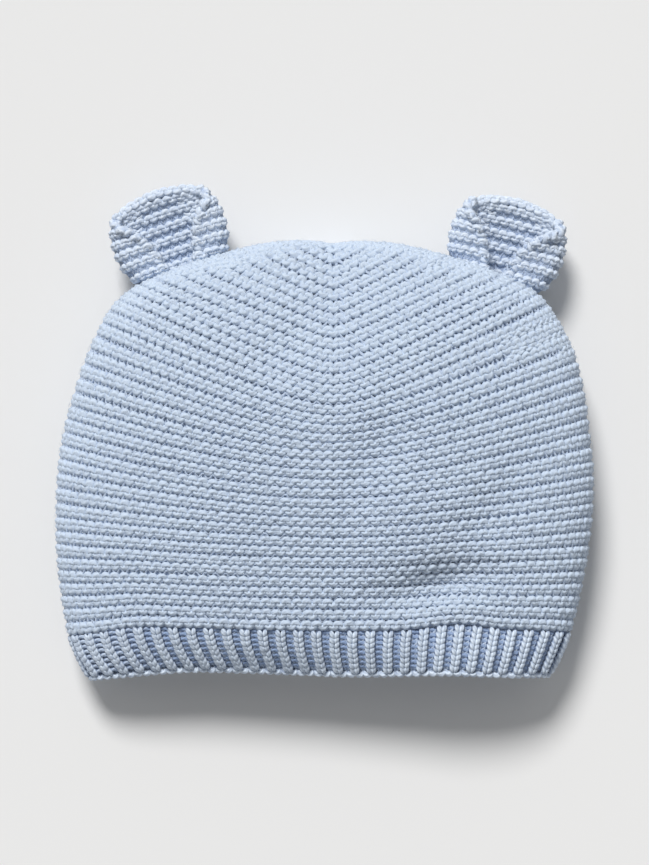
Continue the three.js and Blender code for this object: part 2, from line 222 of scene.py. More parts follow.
@dataclass(frozen=True)
class HatForm:
    """Sizes of the hat and the smooth surfaces that its stitches are laid on."""

    crown_width: float = 183.0
    crown_height: float = 133.5
    puff: float = 43.0
    middle_shift: float = 3.0
    brim_height: float = 15.0
    brim_edge_width: float = 158.0
    seat_gap: float = 0.3
    front_fullness: float = 0.62
    back_fullness: float = 0.5
    back_press: float = 1.12
    end_fullness: float = 0.9
    drape_reach: float = 0.3
    origin: tuple[float, float] = (0.0, 0.0)

    @property
    def half_width(self) -> float:
        """Half the crown's width."""
        return self.crown_width / 2

    def dent_depth(self, x: np.ndarray, y: np.ndarray) -> np.ndarray:
        """Sum of bell-shaped dents: depth times exp(-(u squared) - (v squared)) in each one's frame.

        Args:
            x: places across the hat.
            y: places up the hat from the ribbing line.

        Returns:
            How far the front sinks at each place.
        """
        depth = np.zeros_like(x)
        for share_x, share_y, share_depth, along, across, degrees in DENTS:
            turn = math.radians(degrees)
            dx = x - share_x * self.half_width
            dy = y - share_y * self.crown_height
            u = (dx * math.cos(turn) + dy * math.sin(turn)) / (along * self.half_width)
            v = (dy * math.cos(turn) - dx * math.sin(turn)) / (across * self.half_width)
            depth = depth + share_depth * self.puff * np.exp(-u * u - v * v)
        return depth

    def section(self, ring: Ring, angle: np.ndarray) -> np.ndarray:
        """A ring's point: a full bowed front over a back that is pressed flat.

        Across, it goes from the ring's middle to its ends by the cosine of the angle to the
        power of end_fullness. The front rises by the sine to the power of front_fullness.

        Args:
            ring: the ring's ends, middle, heights and bend.
            angle: 0 at the left end, half a turn at the right end, then the back.

        Returns:
            Points with a last axis of three.
        """
        across = -np.cos(angle)
        share = np.abs(across) ** self.end_fullness
        end_x = np.where(across < 0, ring.left_x, ring.right_x)
        end_y = np.where(across < 0, ring.left_y, ring.right_y)
        bow = (np.hypot(share, ring.bend) - ring.bend) / (np.hypot(1.0, ring.bend) - ring.bend)
        x = ring.middle_x + (end_x - ring.middle_x) * share
        y = ring.middle_y + (end_y - ring.middle_y) * bow
        sine = np.sin(angle)
        height = np.abs(sine)
        rise = height ** self.front_fullness
        top = ring.side + (ring.front - ring.side) * rise - self.dent_depth(x, y) * rise
        press = np.minimum(1.0, self.back_press * height ** self.back_fullness)
        z = np.where(sine >= 0, top, ring.side * (1.0 - press))
        return np.stack([x + self.origin[0], y + self.origin[1], z], axis=-1)

    def crown_ring(self, at: np.ndarray) -> Ring:
        """The crown's rings, read from their table.

        Args:
            at: places up the rows, 0 at the ribbing line and 1 at the top.

        Returns:
            The rings, in millimetres.
        """
        left_x, left_y, middle_y, right_x, right_y, front, side, bend = (
            read_table(CROWN_RINGS, column, at) for column in CrownColumn)
        width, height = self.half_width, self.crown_height
        return Ring(left_x=left_x * width, left_y=left_y * height, middle_x=np.full_like(at, self.middle_shift),
                    middle_y=middle_y * height, right_x=right_x * width, right_y=right_y * height,
                    front=front * self.puff, side=side * self.puff, bend=bend)

    def crown(self, at: np.ndarray, angle: np.ndarray) -> np.ndarray:
        """The crown's outer surface.

        Args:
            at: place up the rows, 0 at the ribbing line and 1 at the top.
            angle: angle round the ring, as in section.

        Returns:
            Points with a last axis of three.
        """
        at, angle = np.broadcast_arrays(np.asarray(at, float), np.asarray(angle, float))
        points = self.section(self.crown_ring(np.clip(at, 0.0, 1.0)), angle)
        return self.drawn_up(points, angle, (1 - np.clip(at / self.drape_reach, 0, 1)) ** 2, 0.0)

    def drawn_up(self, points: np.ndarray, angle: np.ndarray, seam: np.ndarray | float,
                 edge: np.ndarray | float) -> np.ndarray:
        """Shift the seam of the front and the whole free edge up the hat, as they lie in the photograph.

        Args:
            points: points of the surface.
            angle: their angles round the ring.
            seam: share of the seam's shift.
            edge: share of the free edge's shift.

        Returns:
            The shifted points.
        """
        across = (points[..., 0] - self.origin[0]) / self.half_width
        sine = np.sin(angle)
        front = np.sqrt(np.clip(sine, 0, 1))
        points[..., 1] += front * read_table(DRAPE, DrapeColumn.SEAM_UP, across) * seam
        points[..., 1] += np.sqrt(np.abs(sine)) * read_table(DRAPE, DrapeColumn.EDGE_UP, across) * edge
        points[..., 2] += front * read_table(DRAPE, DrapeColumn.EDGE_RAISED, across) * edge
        return points

    def brim(self, at: np.ndarray, angle: np.ndarray) -> np.ndarray:
        """The brim's outer surface: the crown's lowest ring, drawn in and moved down.

        Args:
            at: 0 at the ribbing line, 1 at the free edge.
            angle: angle round the ring, as in section.

        Returns:
            Points with a last axis of three.
        """
        at, angle = np.broadcast_arrays(np.asarray(at, float), np.asarray(angle, float))
        beyond = at - np.clip(at, 0.0, 1.0)
        inner = np.clip(at, 0.0, 1.0)
        ring = self.crown_ring(np.zeros_like(at))
        inwards = ((ring.right_x - ring.left_x - self.brim_edge_width) / 2
                   * read_table(BRIM_RINGS, BrimColumn.SPREAD, inner))
        down = (self.seat_gap + (self.brim_height - self.seat_gap) * read_table(BRIM_RINGS, BrimColumn.DROP, inner)
                + beyond * self.brim_height)
        ring = replace(ring, left_x=ring.left_x + inwards, right_x=ring.right_x - inwards,
                       left_y=ring.left_y - down, middle_y=ring.middle_y - down, right_y=ring.right_y - down,
                       front=read_table(BRIM_RINGS, BrimColumn.FRONT, inner) * self.puff,
                       side=read_table(BRIM_RINGS, BrimColumn.SIDE, inner) * self.puff)
        return self.drawn_up(self.section(ring, angle), angle, 1 - inner, inner)


# Lines across the fabric and the yarn laid on them


def unit(vectors: np.ndarray) -> np.ndarray:
    """Vectors of length one."""
    return vectors / np.maximum(np.linalg.norm(vectors, axis=-1, keepdims=True), 1e-12)


@dataclass
class Lane:
    """A line across the fabric that a row of stitches follows, with its local directions."""

    place: np.ndarray
    up: np.ndarray
    out: np.ndarray
    pitch: np.ndarray
    length: np.ndarray
    closed: bool

    @property
    def total(self) -> float:
        """Length of the whole line."""
        return float(self.length[-1])

    def read(self, values: np.ndarray, along: np.ndarray) -> np.ndarray:
        """Values of the line between its samples, going round again where it is closed.

        Args:
            values: a number or a vector for each sample.
            along: distances along the line.

        Returns:
            The number or the vector at each distance.
        """
        if self.closed:
            along = np.mod(along, self.total)
        if values.ndim == 1:
            return np.interp(along, self.length, values)
        return np.stack([np.interp(along, self.length, values[:, i]) for i in range(3)], axis=-1)

    def lay(self, along: np.ndarray, rise: np.ndarray, lift: np.ndarray) -> tuple[np.ndarray, np.ndarray]:
        """Points over the line: rise up the fabric and lift out of it.

        Args:
            along: distance along the line.
            rise: distance up the fabric.
            lift: distance out of the fabric.

        Returns:
            The points and the outward directions there.
        """
        out = unit(self.read(self.out, along))
        up = unit(self.read(self.up, along))
        place = self.read(self.place, along)
        return place + up * rise[:, None] + out * lift[:, None], out


def lane_on(surface: Surface, at: np.ndarray, across: np.ndarray, spacing: float, closed: bool,
            smoothing: int = 3) -> Lane:
    """Lay a line on a surface and find its directions by small differences.

    Args:
        surface: function of a place up the rows and a place across them.
        at: place up the rows, one for each sample.
        across: places across, in order.
        spacing: how far apart two rows are, in units of at.
        closed: whether the line goes round and meets itself.
        smoothing: how many samples to each side the direction is taken over.

    Returns:
        The line.
    """
    place = surface(at, across)
    small = spacing * SLOPE_STEP
    high = surface(at + small, across)
    low = surface(at - small, across)
    steps = (high - low) * (0.5 / SLOPE_STEP)
    if closed:
        along = unit(np.roll(place, -smoothing, axis=0) - np.roll(place, smoothing, axis=0))
    else:
        index = np.arange(len(place))
        ahead = np.minimum(index + smoothing, len(place) - 1)
        behind = np.maximum(index - smoothing, 0)
        along = unit(place[ahead] - place[behind])
    out = unit(np.cross(along, steps))
    up = unit(np.cross(out, along))
    pitch = np.abs(np.sum(steps * up, axis=-1))
    ring = np.vstack([place, place[:1]]) if closed else place
    gaps = np.linalg.norm(np.diff(ring, axis=0), axis=-1)
    length = np.concatenate([[0.0], np.cumsum(gaps)])

    def close(values: np.ndarray) -> np.ndarray:
        """The values, with the first again at the end where the line is closed."""
        return np.concatenate([values, values[:1]]) if closed else values

    return Lane(close(place), close(up), close(out), close(pitch), length, closed)


def lane_through(place: np.ndarray, out: np.ndarray) -> Lane:
    """An open line through given points.

    Args:
        place: the points, in order.
        out: outward direction at each point.

    Returns:
        The line.
    """
    along = unit(np.gradient(place, axis=0))
    up = unit(np.cross(out, along))
    length = np.concatenate([[0.0], np.cumsum(np.linalg.norm(np.diff(place, axis=0), axis=-1))])
    return Lane(place, up, unit(np.cross(along, up)), np.full(len(place), SEAM_PITCH), length, False)


def ring_angles(per_quarter: int) -> np.ndarray:
    """Angles round a ring, packed towards its two ends, where the section turns fastest.

    In each quarter the distance from the end grows with the square of the count.

    Args:
        per_quarter: number of angles in a quarter of the ring.

    Returns:
        The angles, from the left end over the front and back along the back.
    """
    step = (np.arange(per_quarter) / per_quarter) ** 2 * math.pi / 2
    back_step = math.pi / 2 - (((per_quarter - np.arange(per_quarter)) / per_quarter) ** 2) * math.pi / 2
    return np.concatenate([step, math.pi / 2 + back_step, math.pi + step, 1.5 * math.pi + back_step])


class YarnMesh:
    """Collects tubes of yarn as whole arrays and writes them as one closed mesh."""

    def __init__(self, seed: int) -> None:
        """Start empty.

        Args:
            seed: fixes the small differences between stitches.
        """
        self.rng = np.random.default_rng(seed)
        self.points: list[np.ndarray] = []
        self.quads: list[np.ndarray] = []
        self.fans: list[np.ndarray] = []
        self.quad_uv: list[np.ndarray] = []
        self.fan_uv: list[np.ndarray] = []
        self.tone: list[np.ndarray] = []
        self.depth: list[np.ndarray] = []
        self.count = 0

    def tubes(self, path: np.ndarray, out: np.ndarray, radius: np.ndarray, per_tube: np.ndarray,
              sides: int, tone: np.ndarray, depth: np.ndarray) -> None:
        """Carry a round section along many paths at once.

        A tube's point is path + radius (cos a times out + sin a times side), where side is
        square to the path and to out. Ends are closed by shallow cones.

        Args:
            path: points of all paths, one after the other.
            out: outward direction at each point.
            radius: radius at each point.
            per_tube: number of points of each path.
            sides: number of sides of the section.
            tone: lightness of the yarn at each point.
            depth: how deep in the fabric each point lies, 0 to 1; the yarn is painted darker by it, as painted
                shade.
        """
        count = len(path)
        starts = np.concatenate([[0], np.cumsum(per_tube)[:-1]])
        tube = np.repeat(np.arange(len(per_tube)), per_tube)
        first = starts[tube]
        last = first + per_tube[tube] - 1
        index = np.arange(count)
        ahead = path[np.minimum(index + 1, last)]
        behind = path[np.maximum(index - 1, first)]
        heading = unit(ahead - behind)
        side = unit(np.cross(heading, out))
        over = np.cross(side, heading)
        angle = np.arange(sides) * 2 * math.pi / sides
        ring = (path[:, None, :]
                + radius[:, None, None] * (np.cos(angle)[None, :, None] * over[:, None, :]
                                           + np.sin(angle)[None, :, None] * side[:, None, :]))
        step = np.linalg.norm(path - path[np.maximum(index - 1, first)], axis=-1)
        run = np.cumsum(step)
        run = run - run[first]

        base = self.count
        body = index[index != last]
        j = np.arange(sides)
        k = (j + 1) % sides
        a = body[:, None] * sides
        quads = np.stack([a + j, a + k, a + sides + k, a + sides + j], axis=-1).reshape(-1, 4) + base
        u0 = np.repeat(run[body], sides)
        u1 = np.repeat(run[body + 1], sides)
        v0 = np.tile(j / sides, len(body))
        v1 = np.tile((j + 1) / sides, len(body))
        quad_uv = np.stack([np.stack([u0, v0], -1), np.stack([u0, v1], -1),
                            np.stack([u1, v1], -1), np.stack([u1, v0], -1)], axis=1)

        tails = starts
        heads = starts + per_tube - 1
        tail_hub = path[tails] - heading[tails] * radius[tails, None] * END_BULGE
        head_hub = path[heads] + heading[heads] * radius[heads, None] * END_BULGE
        hubs = base + count * sides
        tail_index = hubs + np.arange(len(tails))
        head_index = hubs + len(tails) + np.arange(len(heads))
        tail_fan = np.stack([np.repeat(tail_index, sides), (tails[:, None] * sides + k + base).ravel(),
                             (tails[:, None] * sides + j + base).ravel()], axis=-1)
        head_fan = np.stack([np.repeat(head_index, sides), (heads[:, None] * sides + j + base).ravel(),
                             (heads[:, None] * sides + k + base).ravel()], axis=-1)
        fan_uv = np.stack([np.tile(v0[:sides] + 0.5 / sides, 2 * len(tails))] * 3, axis=-1)
        fan_uv = np.stack([np.zeros_like(fan_uv), fan_uv], axis=-1)

        self.points += [ring.reshape(-1, 3), tail_hub, head_hub]
        self.quads.append(quads)
        self.fans.append(np.vstack([tail_fan, head_fan]))
        self.quad_uv.append(quad_uv)
        self.fan_uv.append(fan_uv)
        self.tone += [np.repeat(tone, sides), tone[tails], tone[heads]]
        self.depth += [np.repeat(depth, sides), depth[tails], depth[heads]]
        self.count = hubs + 2 * len(tails)

    def write(self, name: str) -> bpy.types.Object:
        """Write everything collected as one object, in metres, with nothing below the floor.

        Args:
            name: the object's name.

        Returns:
            The object.
        """
        points = np.vstack(self.points) * MM
        points[:, 2] = np.maximum(points[:, 2], 0.0)
        quads = np.vstack(self.quads)
        fans = np.vstack(self.fans)
        loops = np.concatenate([quads.ravel(), fans.ravel()])
        uv = np.concatenate([np.vstack(self.quad_uv).reshape(-1, 2), np.vstack(self.fan_uv).reshape(-1, 2)])
        starts = np.concatenate([np.arange(len(quads)) * 4, len(quads) * 4 + np.arange(len(fans)) * 3])
        extra = {"tone": np.concatenate(self.tone), "depth": np.concatenate(self.depth)}
        return write_mesh(name, points, loops, starts, uv, extra)

    def rope(self, lane: Lane, coil: float, radius: float, turn: float) -> None:
        """Wind a strand round a line: sin(p) coil up the fabric and cos(p) coil out of it.

        Args:
            lane: the line.
            coil: radius of the winding.
            radius: radius of the strand.
            turn: length of one turn.
        """
        count = int(lane.total / turn * ROPE_POINTS)
        along = np.linspace(0.0, lane.total, count, endpoint=False)
        phase = 2 * math.pi * along / turn
        path, out = lane.lay(along, coil * np.sin(phase), coil * np.cos(phase))
        thick = radius * (1 + 0.06 * np.sin(along * 1.7))
        # The strand takes a little painted shade through its depth value of 0.15.
        self.tubes(path, out, thick, np.array([count]), 6, np.full(count, 0.5), np.full(count, 0.15))


def write_mesh(name: str, points: np.ndarray, loops: np.ndarray, starts: np.ndarray, uv: np.ndarray,
               extra: dict[str, np.ndarray]) -> bpy.types.Object:
    """Make a smooth-shaded object from whole arrays.

    Args:
        name: the object's name.
        points: vertex places in metres.
        loops: vertex of each face corner.
        starts: first corner of each face.
        uv: map coordinates of each corner.
        extra: named numbers, one for each vertex.

    Returns:
        The object, linked into the scene.
    """
    mesh = bpy.data.meshes.new(name)
    mesh.vertices.add(len(points))
    mesh.vertices.foreach_set("co", points.astype(np.float32).ravel())
    mesh.loops.add(len(loops))
    mesh.loops.foreach_set("vertex_index", loops.astype(np.int32))
    mesh.polygons.add(len(starts))
    mesh.polygons.foreach_set("loop_start", starts.astype(np.int32))
    mesh.update(calc_edges=True)
    mesh.polygons.foreach_set("use_smooth", np.ones(len(starts), bool))
    layer = mesh.uv_layers.new(name="yarn")
    layer.uv.foreach_set("vector", uv.astype(np.float32).ravel())
    for key, values in extra.items():
        mesh.attributes.new(key, "FLOAT", "POINT").data.foreach_set("value", values.astype(np.float32))
    mesh.validate()
    piece = bpy.data.objects.new(name, mesh)
    bpy.context.scene.collection.objects.link(piece)
    return piece


class Ends(Enum):
    """How the first and the last row of a skin are closed."""

    JOINED = "the last row joins the first"
    FANS = "each is closed by a fan"
    STRIPS = "each is a flat band, closed by a strip between its two sides"


def write_skin(name: str, rows: np.ndarray, ends: Ends, wide: float, tall: float) -> bpy.types.Object:
    """Write a closed skin from a grid of points, turned so that its faces point out.

    Args:
        name: the object's name.
        rows: grid of points, rows by columns by three, in millimetres.
        ends: how the two ends are closed.
        wide: stitches across the columns, for the map coordinates.
        tall: stitches along the rows, for the map coordinates.

    Returns:
        The object.
    """
    height, width = rows.shape[:2]
    points = rows.reshape(-1, 3)
    row = np.arange(height if ends is Ends.JOINED else height - 1)
    column = np.arange(width)
    r, c = np.meshgrid(row, column, indexing="ij")
    r2, c2 = (r + 1) % height, (c + 1) % width
    quads = np.stack([r * width + c, r * width + c2, r2 * width + c2, r2 * width + c], -1).reshape(-1, 4)
    u, v = c / width * wide, r / height * tall
    du, dv = wide / width, tall / height
    quad_uv = np.stack([np.stack([u, v], -1), np.stack([u + du, v], -1),
                        np.stack([u + du, v + dv], -1), np.stack([u, v + dv], -1)], axis=2).reshape(-1, 2)
    fans = np.zeros((0, 3), int)
    top = (height - 1) * width
    if ends is Ends.STRIPS:
        j = np.arange(width // 2 - 1)
        k = width - 1 - j
        strips = np.vstack([np.stack([j, k, k - 1, j + 1], -1),
                            np.stack([top + j, top + j + 1, top + k - 1, top + k], -1)])
        quads = np.vstack([quads, strips])
        quad_uv = np.vstack([quad_uv, np.zeros((len(strips) * 4, 2))])
    if ends is Ends.FANS:
        hubs = np.stack([rows[0].mean(axis=0), rows[-1].mean(axis=0)])
        points = np.vstack([points, hubs])
        low = np.stack([np.full(width, height * width), (column + 1) % width, column], -1)
        high = np.stack([np.full(width, height * width + 1), top + column, top + (column + 1) % width], -1)
        fans = np.vstack([low, high])
    corners = points[quads]
    volume = np.einsum("ij,ij->i", corners[:, 0], np.cross(corners[:, 1], corners[:, 2])).sum()
    volume += np.einsum("ij,ij->i", corners[:, 0], np.cross(corners[:, 2], corners[:, 3])).sum()
    if volume < 0:
        quads, fans = quads[:, ::-1], fans[:, ::-1]
        quad_uv = quad_uv.reshape(-1, 4, 2)[:, ::-1].reshape(-1, 2)
    loops = np.concatenate([quads.ravel(), fans.ravel()])
    starts = np.concatenate([np.arange(len(quads)) * 4, len(quads) * 4 + np.arange(len(fans)) * 3])
    uv = np.concatenate([quad_uv, np.zeros((fans.size, 2))])
    # The skins lie behind the loops and take the full deep tone: painted shade.
    extra = {"tone": np.full(len(points), 0.5), "depth": np.full(len(points), 1.0)}
    return write_mesh(name, points * MM, loops, starts, uv, extra)


@dataclass(frozen=True)
class Stitch:
    """The run of the yarn through one garter stitch.

    Along the row, in stitches, the yarn is at t + spread sin(p) + square sin(2p), with
    p = 2 pi t. Up the fabric it is at arch cos(p), and it dives by
    dive ((1 - cos p) / 2) to the power of plunge on its way behind the next loop.
    """

    radius: float = 0.98
    radius_most: float = 1.2
    fullness: float = 0.28
    overlap: float = 0.06
    spread: float = 0.11
    square: float = 0.04
    arch_least: float = 0.60
    arch_most: float = 1.2
    dive: float = 1.45
    plunge: float = 1.35
    sink: float = 0.12
    thinning: float = 0.12
    waver: float = 0.16
    uneven_shift: float = 0.035
    uneven_arch: float = 0.06
    uneven_lift: float = 0.06
    uneven_yarn: float = 0.035
    uneven_tone: float = 0.16
    knots: tuple[float, ...] = (-0.28, -0.16, -0.055, 0.055, 0.16, 0.28, 0.5)

    def phases(self, count: int) -> tuple[np.ndarray, np.ndarray]:
        """Places of the knots of a chain of loops.

        Args:
            count: number of loops.

        Returns:
            The places, in loops, and which loop each belongs to.
        """
        loop = np.repeat(np.arange(count), len(self.knots))
        t = loop + np.tile(np.array(self.knots), count)
        return np.concatenate([[-0.5], t]), np.concatenate([[0], loop])


@dataclass
class GarterRow:
    """One ridge of garter stitch on a lane: a row of arches over a row of hanging loops."""

    lane: Lane
    start: float
    stop: float
    stitches: int
    outer_ends: bool
    ease: float = 0.08
    inset: float = 0.0

    @classmethod
    def even(cls, lane: Lane, start: float, stop: float, stitches: int, inset: float = 0.0) -> "GarterRow":
        """A row whose stitches are all equally wide, with a hanging loop at both ends.

        Args:
            lane: the line that it follows.
            start: distance along the line where it starts.
            stop: distance where it stops.
            stitches: number of stitches.
            inset: how far it lies behind the line.

        Returns:
            The row.
        """
        return cls(lane, start, stop, stitches, outer_ends=True, ease=0.0, inset=inset)

    def along(self, stitch: np.ndarray) -> np.ndarray:
        """Distance along the lane, with stitches that get a little wider towards stop.

        Args:
            stitch: places counted in stitches.

        Returns:
            The distances: the share of the row, eased by its square.
        """
        share = stitch / self.stitches
        eased = share * (1 - self.ease) + share * np.abs(share) * self.ease
        return self.start + (self.stop - self.start) * eased

    def lay_into(self, mesh: YarnMesh, shape: Stitch, sides: int, wave: np.ndarray = STRAIGHT,
                 chains: tuple[float, ...] = (1.0, -1.0)) -> None:
        """Add the ridge's two chains of loops to a mesh.

        Args:
            mesh: where the tubes go.
            shape: the run of the yarn.
            sides: sides of each tube.
            wave: size and start of the long wave and of the short wave of this row.
            chains: 1 for the row of arches, -1 for the row of hanging loops.
        """
        hanging = self.stitches + 1 if self.outer_ends else self.stitches - 1
        first_hanging = 0.0 if self.outer_ends else 1.0
        for sign, count, offset in ((1.0, self.stitches, 0.5), (-1.0, max(hanging, 1), first_hanging)):
            if sign not in chains:
                continue
            t, loop = shape.phases(count)
            phase = 2 * math.pi * t
            rng = mesh.rng
            shift = rng.normal(0.0, shape.uneven_shift, count)[loop]
            stretch = rng.normal(1.0, shape.uneven_arch, count)[loop]
            lift_off = rng.normal(0.0, shape.uneven_lift, count)[loop]
            thick = rng.normal(1.0, shape.uneven_yarn, count)[loop]
            tone = np.clip(rng.normal(0.5, shape.uneven_tone, count), 0, 1)[loop]
            place = t + offset + shape.spread * np.sin(phase) + shape.square * np.sin(2 * phase) + shift
            along = self.along(place)
            pitch = self.lane.read(self.lane.pitch, along)
            yarn = np.clip(shape.fullness * pitch, shape.radius, shape.radius_most) * thick
            arch = np.clip(pitch / 2 - yarn + shape.overlap, shape.arch_least, shape.arch_most) * stretch
            waver = wave[0] * np.sin(along / LONG_WAVE + wave[1]) + wave[2] * np.sin(along / SHORT_WAVE + wave[3])
            rise = sign * arch * np.cos(phase) + shape.waver * waver
            dive = ((1 - np.cos(phase)) / 2) ** shape.plunge
            sink = shape.sink if sign < 0 else 0.0
            lift = -yarn - self.inset - sink - shape.dive * dive + lift_off
            path, out = self.lane.lay(along, rise, lift)
            radius = yarn * (1 - shape.thinning * dive)
            # The yarn is painted darker where it dives into the fabric: painted shade, by its dive.
            mesh.tubes(path, out, radius, np.array([len(path)]), sides, tone, dive)


@dataclass(frozen=True)
class Fuzz:
    """Loose fibres that stand off the yarn: each rises out of it, bends over and ends in the air."""

    least: float = 1.4
    most: float = 3.4
    radius: float = 0.045
    stand: float = 0.32
    root: float = -0.9
    sway: float = 0.7
    room: float = 4.5
    taper: tuple[float, ...] = (1.0, 0.9, 0.4)

    def lay_into(self, mesh: YarnMesh, lane: Lane, count: int) -> None:
        """Scatter fibres over the fabric round a line.

        Args:
            mesh: where the fibres go.
            lane: the line.
            count: number of fibres.
        """
        rng = mesh.rng
        along = rng.uniform(0.0, lane.total, count)
        pitch = lane.read(lane.pitch, along)
        rise = rng.uniform(-0.5, 0.5, count) * np.minimum(pitch, self.room)
        turn = rng.uniform(0.0, 2 * math.pi, count)
        bend = turn + rng.normal(0.0, self.sway, count)
        length = rng.uniform(self.least, self.most, count)
        top = rng.uniform(0.0, self.stand, count)
        steps = []
        outs = []
        reach_x, reach_y = np.zeros(count), np.zeros(count)
        root = np.full(count, self.root)
        for share, heading, height in ((0.0, turn, root), (0.5, turn, top * 0.6), (0.5, bend, top)):
            reach_x = reach_x + share * length * np.cos(heading)
            reach_y = reach_y + share * length * np.sin(heading)
            path, out = lane.lay(along + reach_x, rise + reach_y, height)
            steps.append(path)
            outs.append(out)
        path = np.stack(steps, axis=1).reshape(-1, 3)
        out = np.stack(outs, axis=1).reshape(-1, 3)
        radius = np.tile(np.array(self.taper) * self.radius, count)
        mesh.tubes(path, out, radius, np.full(count, 3), 3, np.full(len(path), 0.3), np.zeros(len(path)))


@dataclass(frozen=True)
class LegWave:
    """The legs of the stitches that show deep in the valley between two ridges."""

    radius: float = 0.74
    depth: float = 1.52
    ridge_room: float = 0.9
    reach_least: float = 0.5
    reach_most: float = 1.6
    reach_gain: float = 1.25
    lean: float = 0.03
    tone: float = 0.45
    # Depth value of the legs: the finish paints them darker by it, as painted shade.
    shade: float = 1.1
    knots: tuple[float, ...] = (0.14, 0.36, 0.64, 0.86)

    def lay_into(self, mesh: YarnMesh, row: GarterRow, sides: int) -> None:
        """Add a zigzag of legs: up the fabric it is at -reach cos(2 pi t), with t in stitches.

        Args:
            mesh: where the tube goes.
            row: the row that the legs belong to, on the lane of the valley.
            sides: sides of the tube.
        """
        count = row.stitches
        t = (np.arange(count)[:, None] + np.array(self.knots)[None, :]).ravel()
        phase = 2 * math.pi * t
        along = row.along(t + self.lean * np.sin(2 * phase))
        pitch = row.lane.read(row.lane.pitch, along)
        reach = np.clip(pitch / 2 - self.ridge_room, self.reach_least, self.reach_most)
        rise = -reach * np.cos(phase) * self.reach_gain
        path, out = row.lane.lay(along, rise, np.full_like(t, -self.depth - row.inset))
        mesh.tubes(path, out, np.full_like(t, self.radius), np.array([len(path)]), sides,
                   np.full_like(t, self.tone), np.full_like(t, self.shade))


# Finishes

FIBRE_SCALE = 1500.0  # noise cells in a metre
DRIFT_SCALE = 55.0
STITCH_SHARE = -0.35  # how far each mask turns the colour from the light tone to the deep one
FIBRE_SHARE = -0.5
# The groove and depth shares paint shade: they darken the yarn in the grooves between plies and where it lies
# deep.
GROOVE_SHADE_SHARE = 0.34
DEPTH_SHADE_SHARE = 0.5


def make_yarn_group() -> bpy.types.ShaderNodeTree:
    """Build the shared yarn effect once: twisted plies, fine fibres and soft colour drift.

    Height is a raised sine of plies times the place round the yarn plus turns times the
    place along it, with fine noise for the fibres. Colour mixes a light and a deep tone by the
    drift over the hat, the tone of each stitch and its fibres, and by painted shade: the grooves
    between its plies and the deeper parts of the yarn are painted darker.

    Returns:
        The node group.
    """
    tree = bpy.data.node_groups.new("yarn_effect", "ShaderNodeTree")
    face = tree.interface
    for label, kind, value in (
            ("Light", "NodeSocketColor", (0.5, 0.6, 0.8, 1)), ("Deep", "NodeSocketColor", (0.3, 0.4, 0.6, 1)),
            ("Plies", "NodeSocketFloat", 3.0), ("Turns", "NodeSocketFloat", 0.45),
            ("Fibre", "NodeSocketFloat", 0.6), ("Drift", "NodeSocketFloat", 0.3)):
        face.new_socket(name=label, in_out="INPUT", socket_type=kind).default_value = value
    face.new_socket(name="Colour", in_out="OUTPUT", socket_type="NodeSocketColor")
    face.new_socket(name="Height", in_out="OUTPUT", socket_type="NodeSocketFloat")
    nodes, links = tree.nodes, tree.links
    enter = nodes.new("NodeGroupInput")
    leave = nodes.new("NodeGroupOutput")

    def math_node(operation: str, *values: bpy.types.NodeSocket | float) -> bpy.types.NodeSocket:
        """A math node fed with sockets or numbers.

        Args:
            operation: Blender's name of the operation.
            values: a socket or a number for each input.

        Returns:
            The node's result.
        """
        node = nodes.new("ShaderNodeMath")
        node.operation = operation
        for socket, value in zip(node.inputs, values):
            if isinstance(value, bpy.types.NodeSocket):
                links.new(value, socket)
            else:
                socket.default_value = value
        return node.outputs[0]

    uv = nodes.new("ShaderNodeUVMap")
    uv.uv_map = "yarn"
    split = nodes.new("ShaderNodeSeparateXYZ")
    links.new(uv.outputs["UV"], split.inputs[0])
    turns = math_node("MULTIPLY", split.outputs["X"], enter.outputs["Turns"])
    plies = math_node("MULTIPLY", split.outputs["Y"], enter.outputs["Plies"])
    twist = math_node("SINE", math_node("MULTIPLY", math_node("ADD", turns, plies), 2 * math.pi))
    ply = math_node("MULTIPLY_ADD", twist, 0.5, 0.5)

    place = nodes.new("ShaderNodeTexCoord")
    fibre = nodes.new("ShaderNodeTexNoise")
    fibre.inputs["Scale"].default_value = FIBRE_SCALE
    fibre.inputs["Detail"].default_value = 3.0
    fibre.inputs["Roughness"].default_value = 0.65
    links.new(place.outputs["Object"], fibre.inputs["Vector"])
    rough = math_node("MULTIPLY", fibre.outputs["Fac"], enter.outputs["Fibre"])
    links.new(math_node("ADD", ply, rough), leave.inputs["Height"])

    drift = nodes.new("ShaderNodeTexNoise")
    drift.inputs["Scale"].default_value = DRIFT_SCALE
    drift.inputs["Detail"].default_value = 3.0
    links.new(place.outputs["Object"], drift.inputs["Vector"])
    depth = nodes.new("ShaderNodeAttribute")
    depth.attribute_name = "depth"
    tone = nodes.new("ShaderNodeAttribute")
    tone.attribute_name = "tone"
    spread = math_node("MULTIPLY", math_node("SUBTRACT", drift.outputs["Fac"], 0.5), enter.outputs["Drift"])
    own = math_node("MULTIPLY", math_node("SUBTRACT", tone.outputs["Fac"], 0.5), STITCH_SHARE)
    fleck = math_node("MULTIPLY", math_node("SUBTRACT", fibre.outputs["Fac"], 0.5), FIBRE_SHARE)
    # Painted shade: darker in the grooves between plies, and the deeper the yarn lies.
    groove_shade = math_node("MULTIPLY", math_node("SUBTRACT", 1.0, ply), GROOVE_SHADE_SHARE)
    deep = math_node("MULTIPLY", depth.outputs["Fac"], DEPTH_SHADE_SHARE)
    fleck_and_shade = math_node("ADD", fleck, math_node("ADD", groove_shade, deep))
    total = math_node("ADD", math_node("ADD", spread, own), fleck_and_shade)
    clamp = nodes.new("ShaderNodeClamp")
    links.new(total, clamp.inputs["Value"])
    mix = nodes.new("ShaderNodeMix")
    mix.data_type = "RGBA"
    links.new(clamp.outputs[0], mix.inputs["Factor"])
    links.new(enter.outputs["Light"], mix.inputs["A"])
    links.new(enter.outputs["Deep"], mix.inputs["B"])
    links.new(mix.outputs["Result"], leave.inputs["Colour"])
    return tree


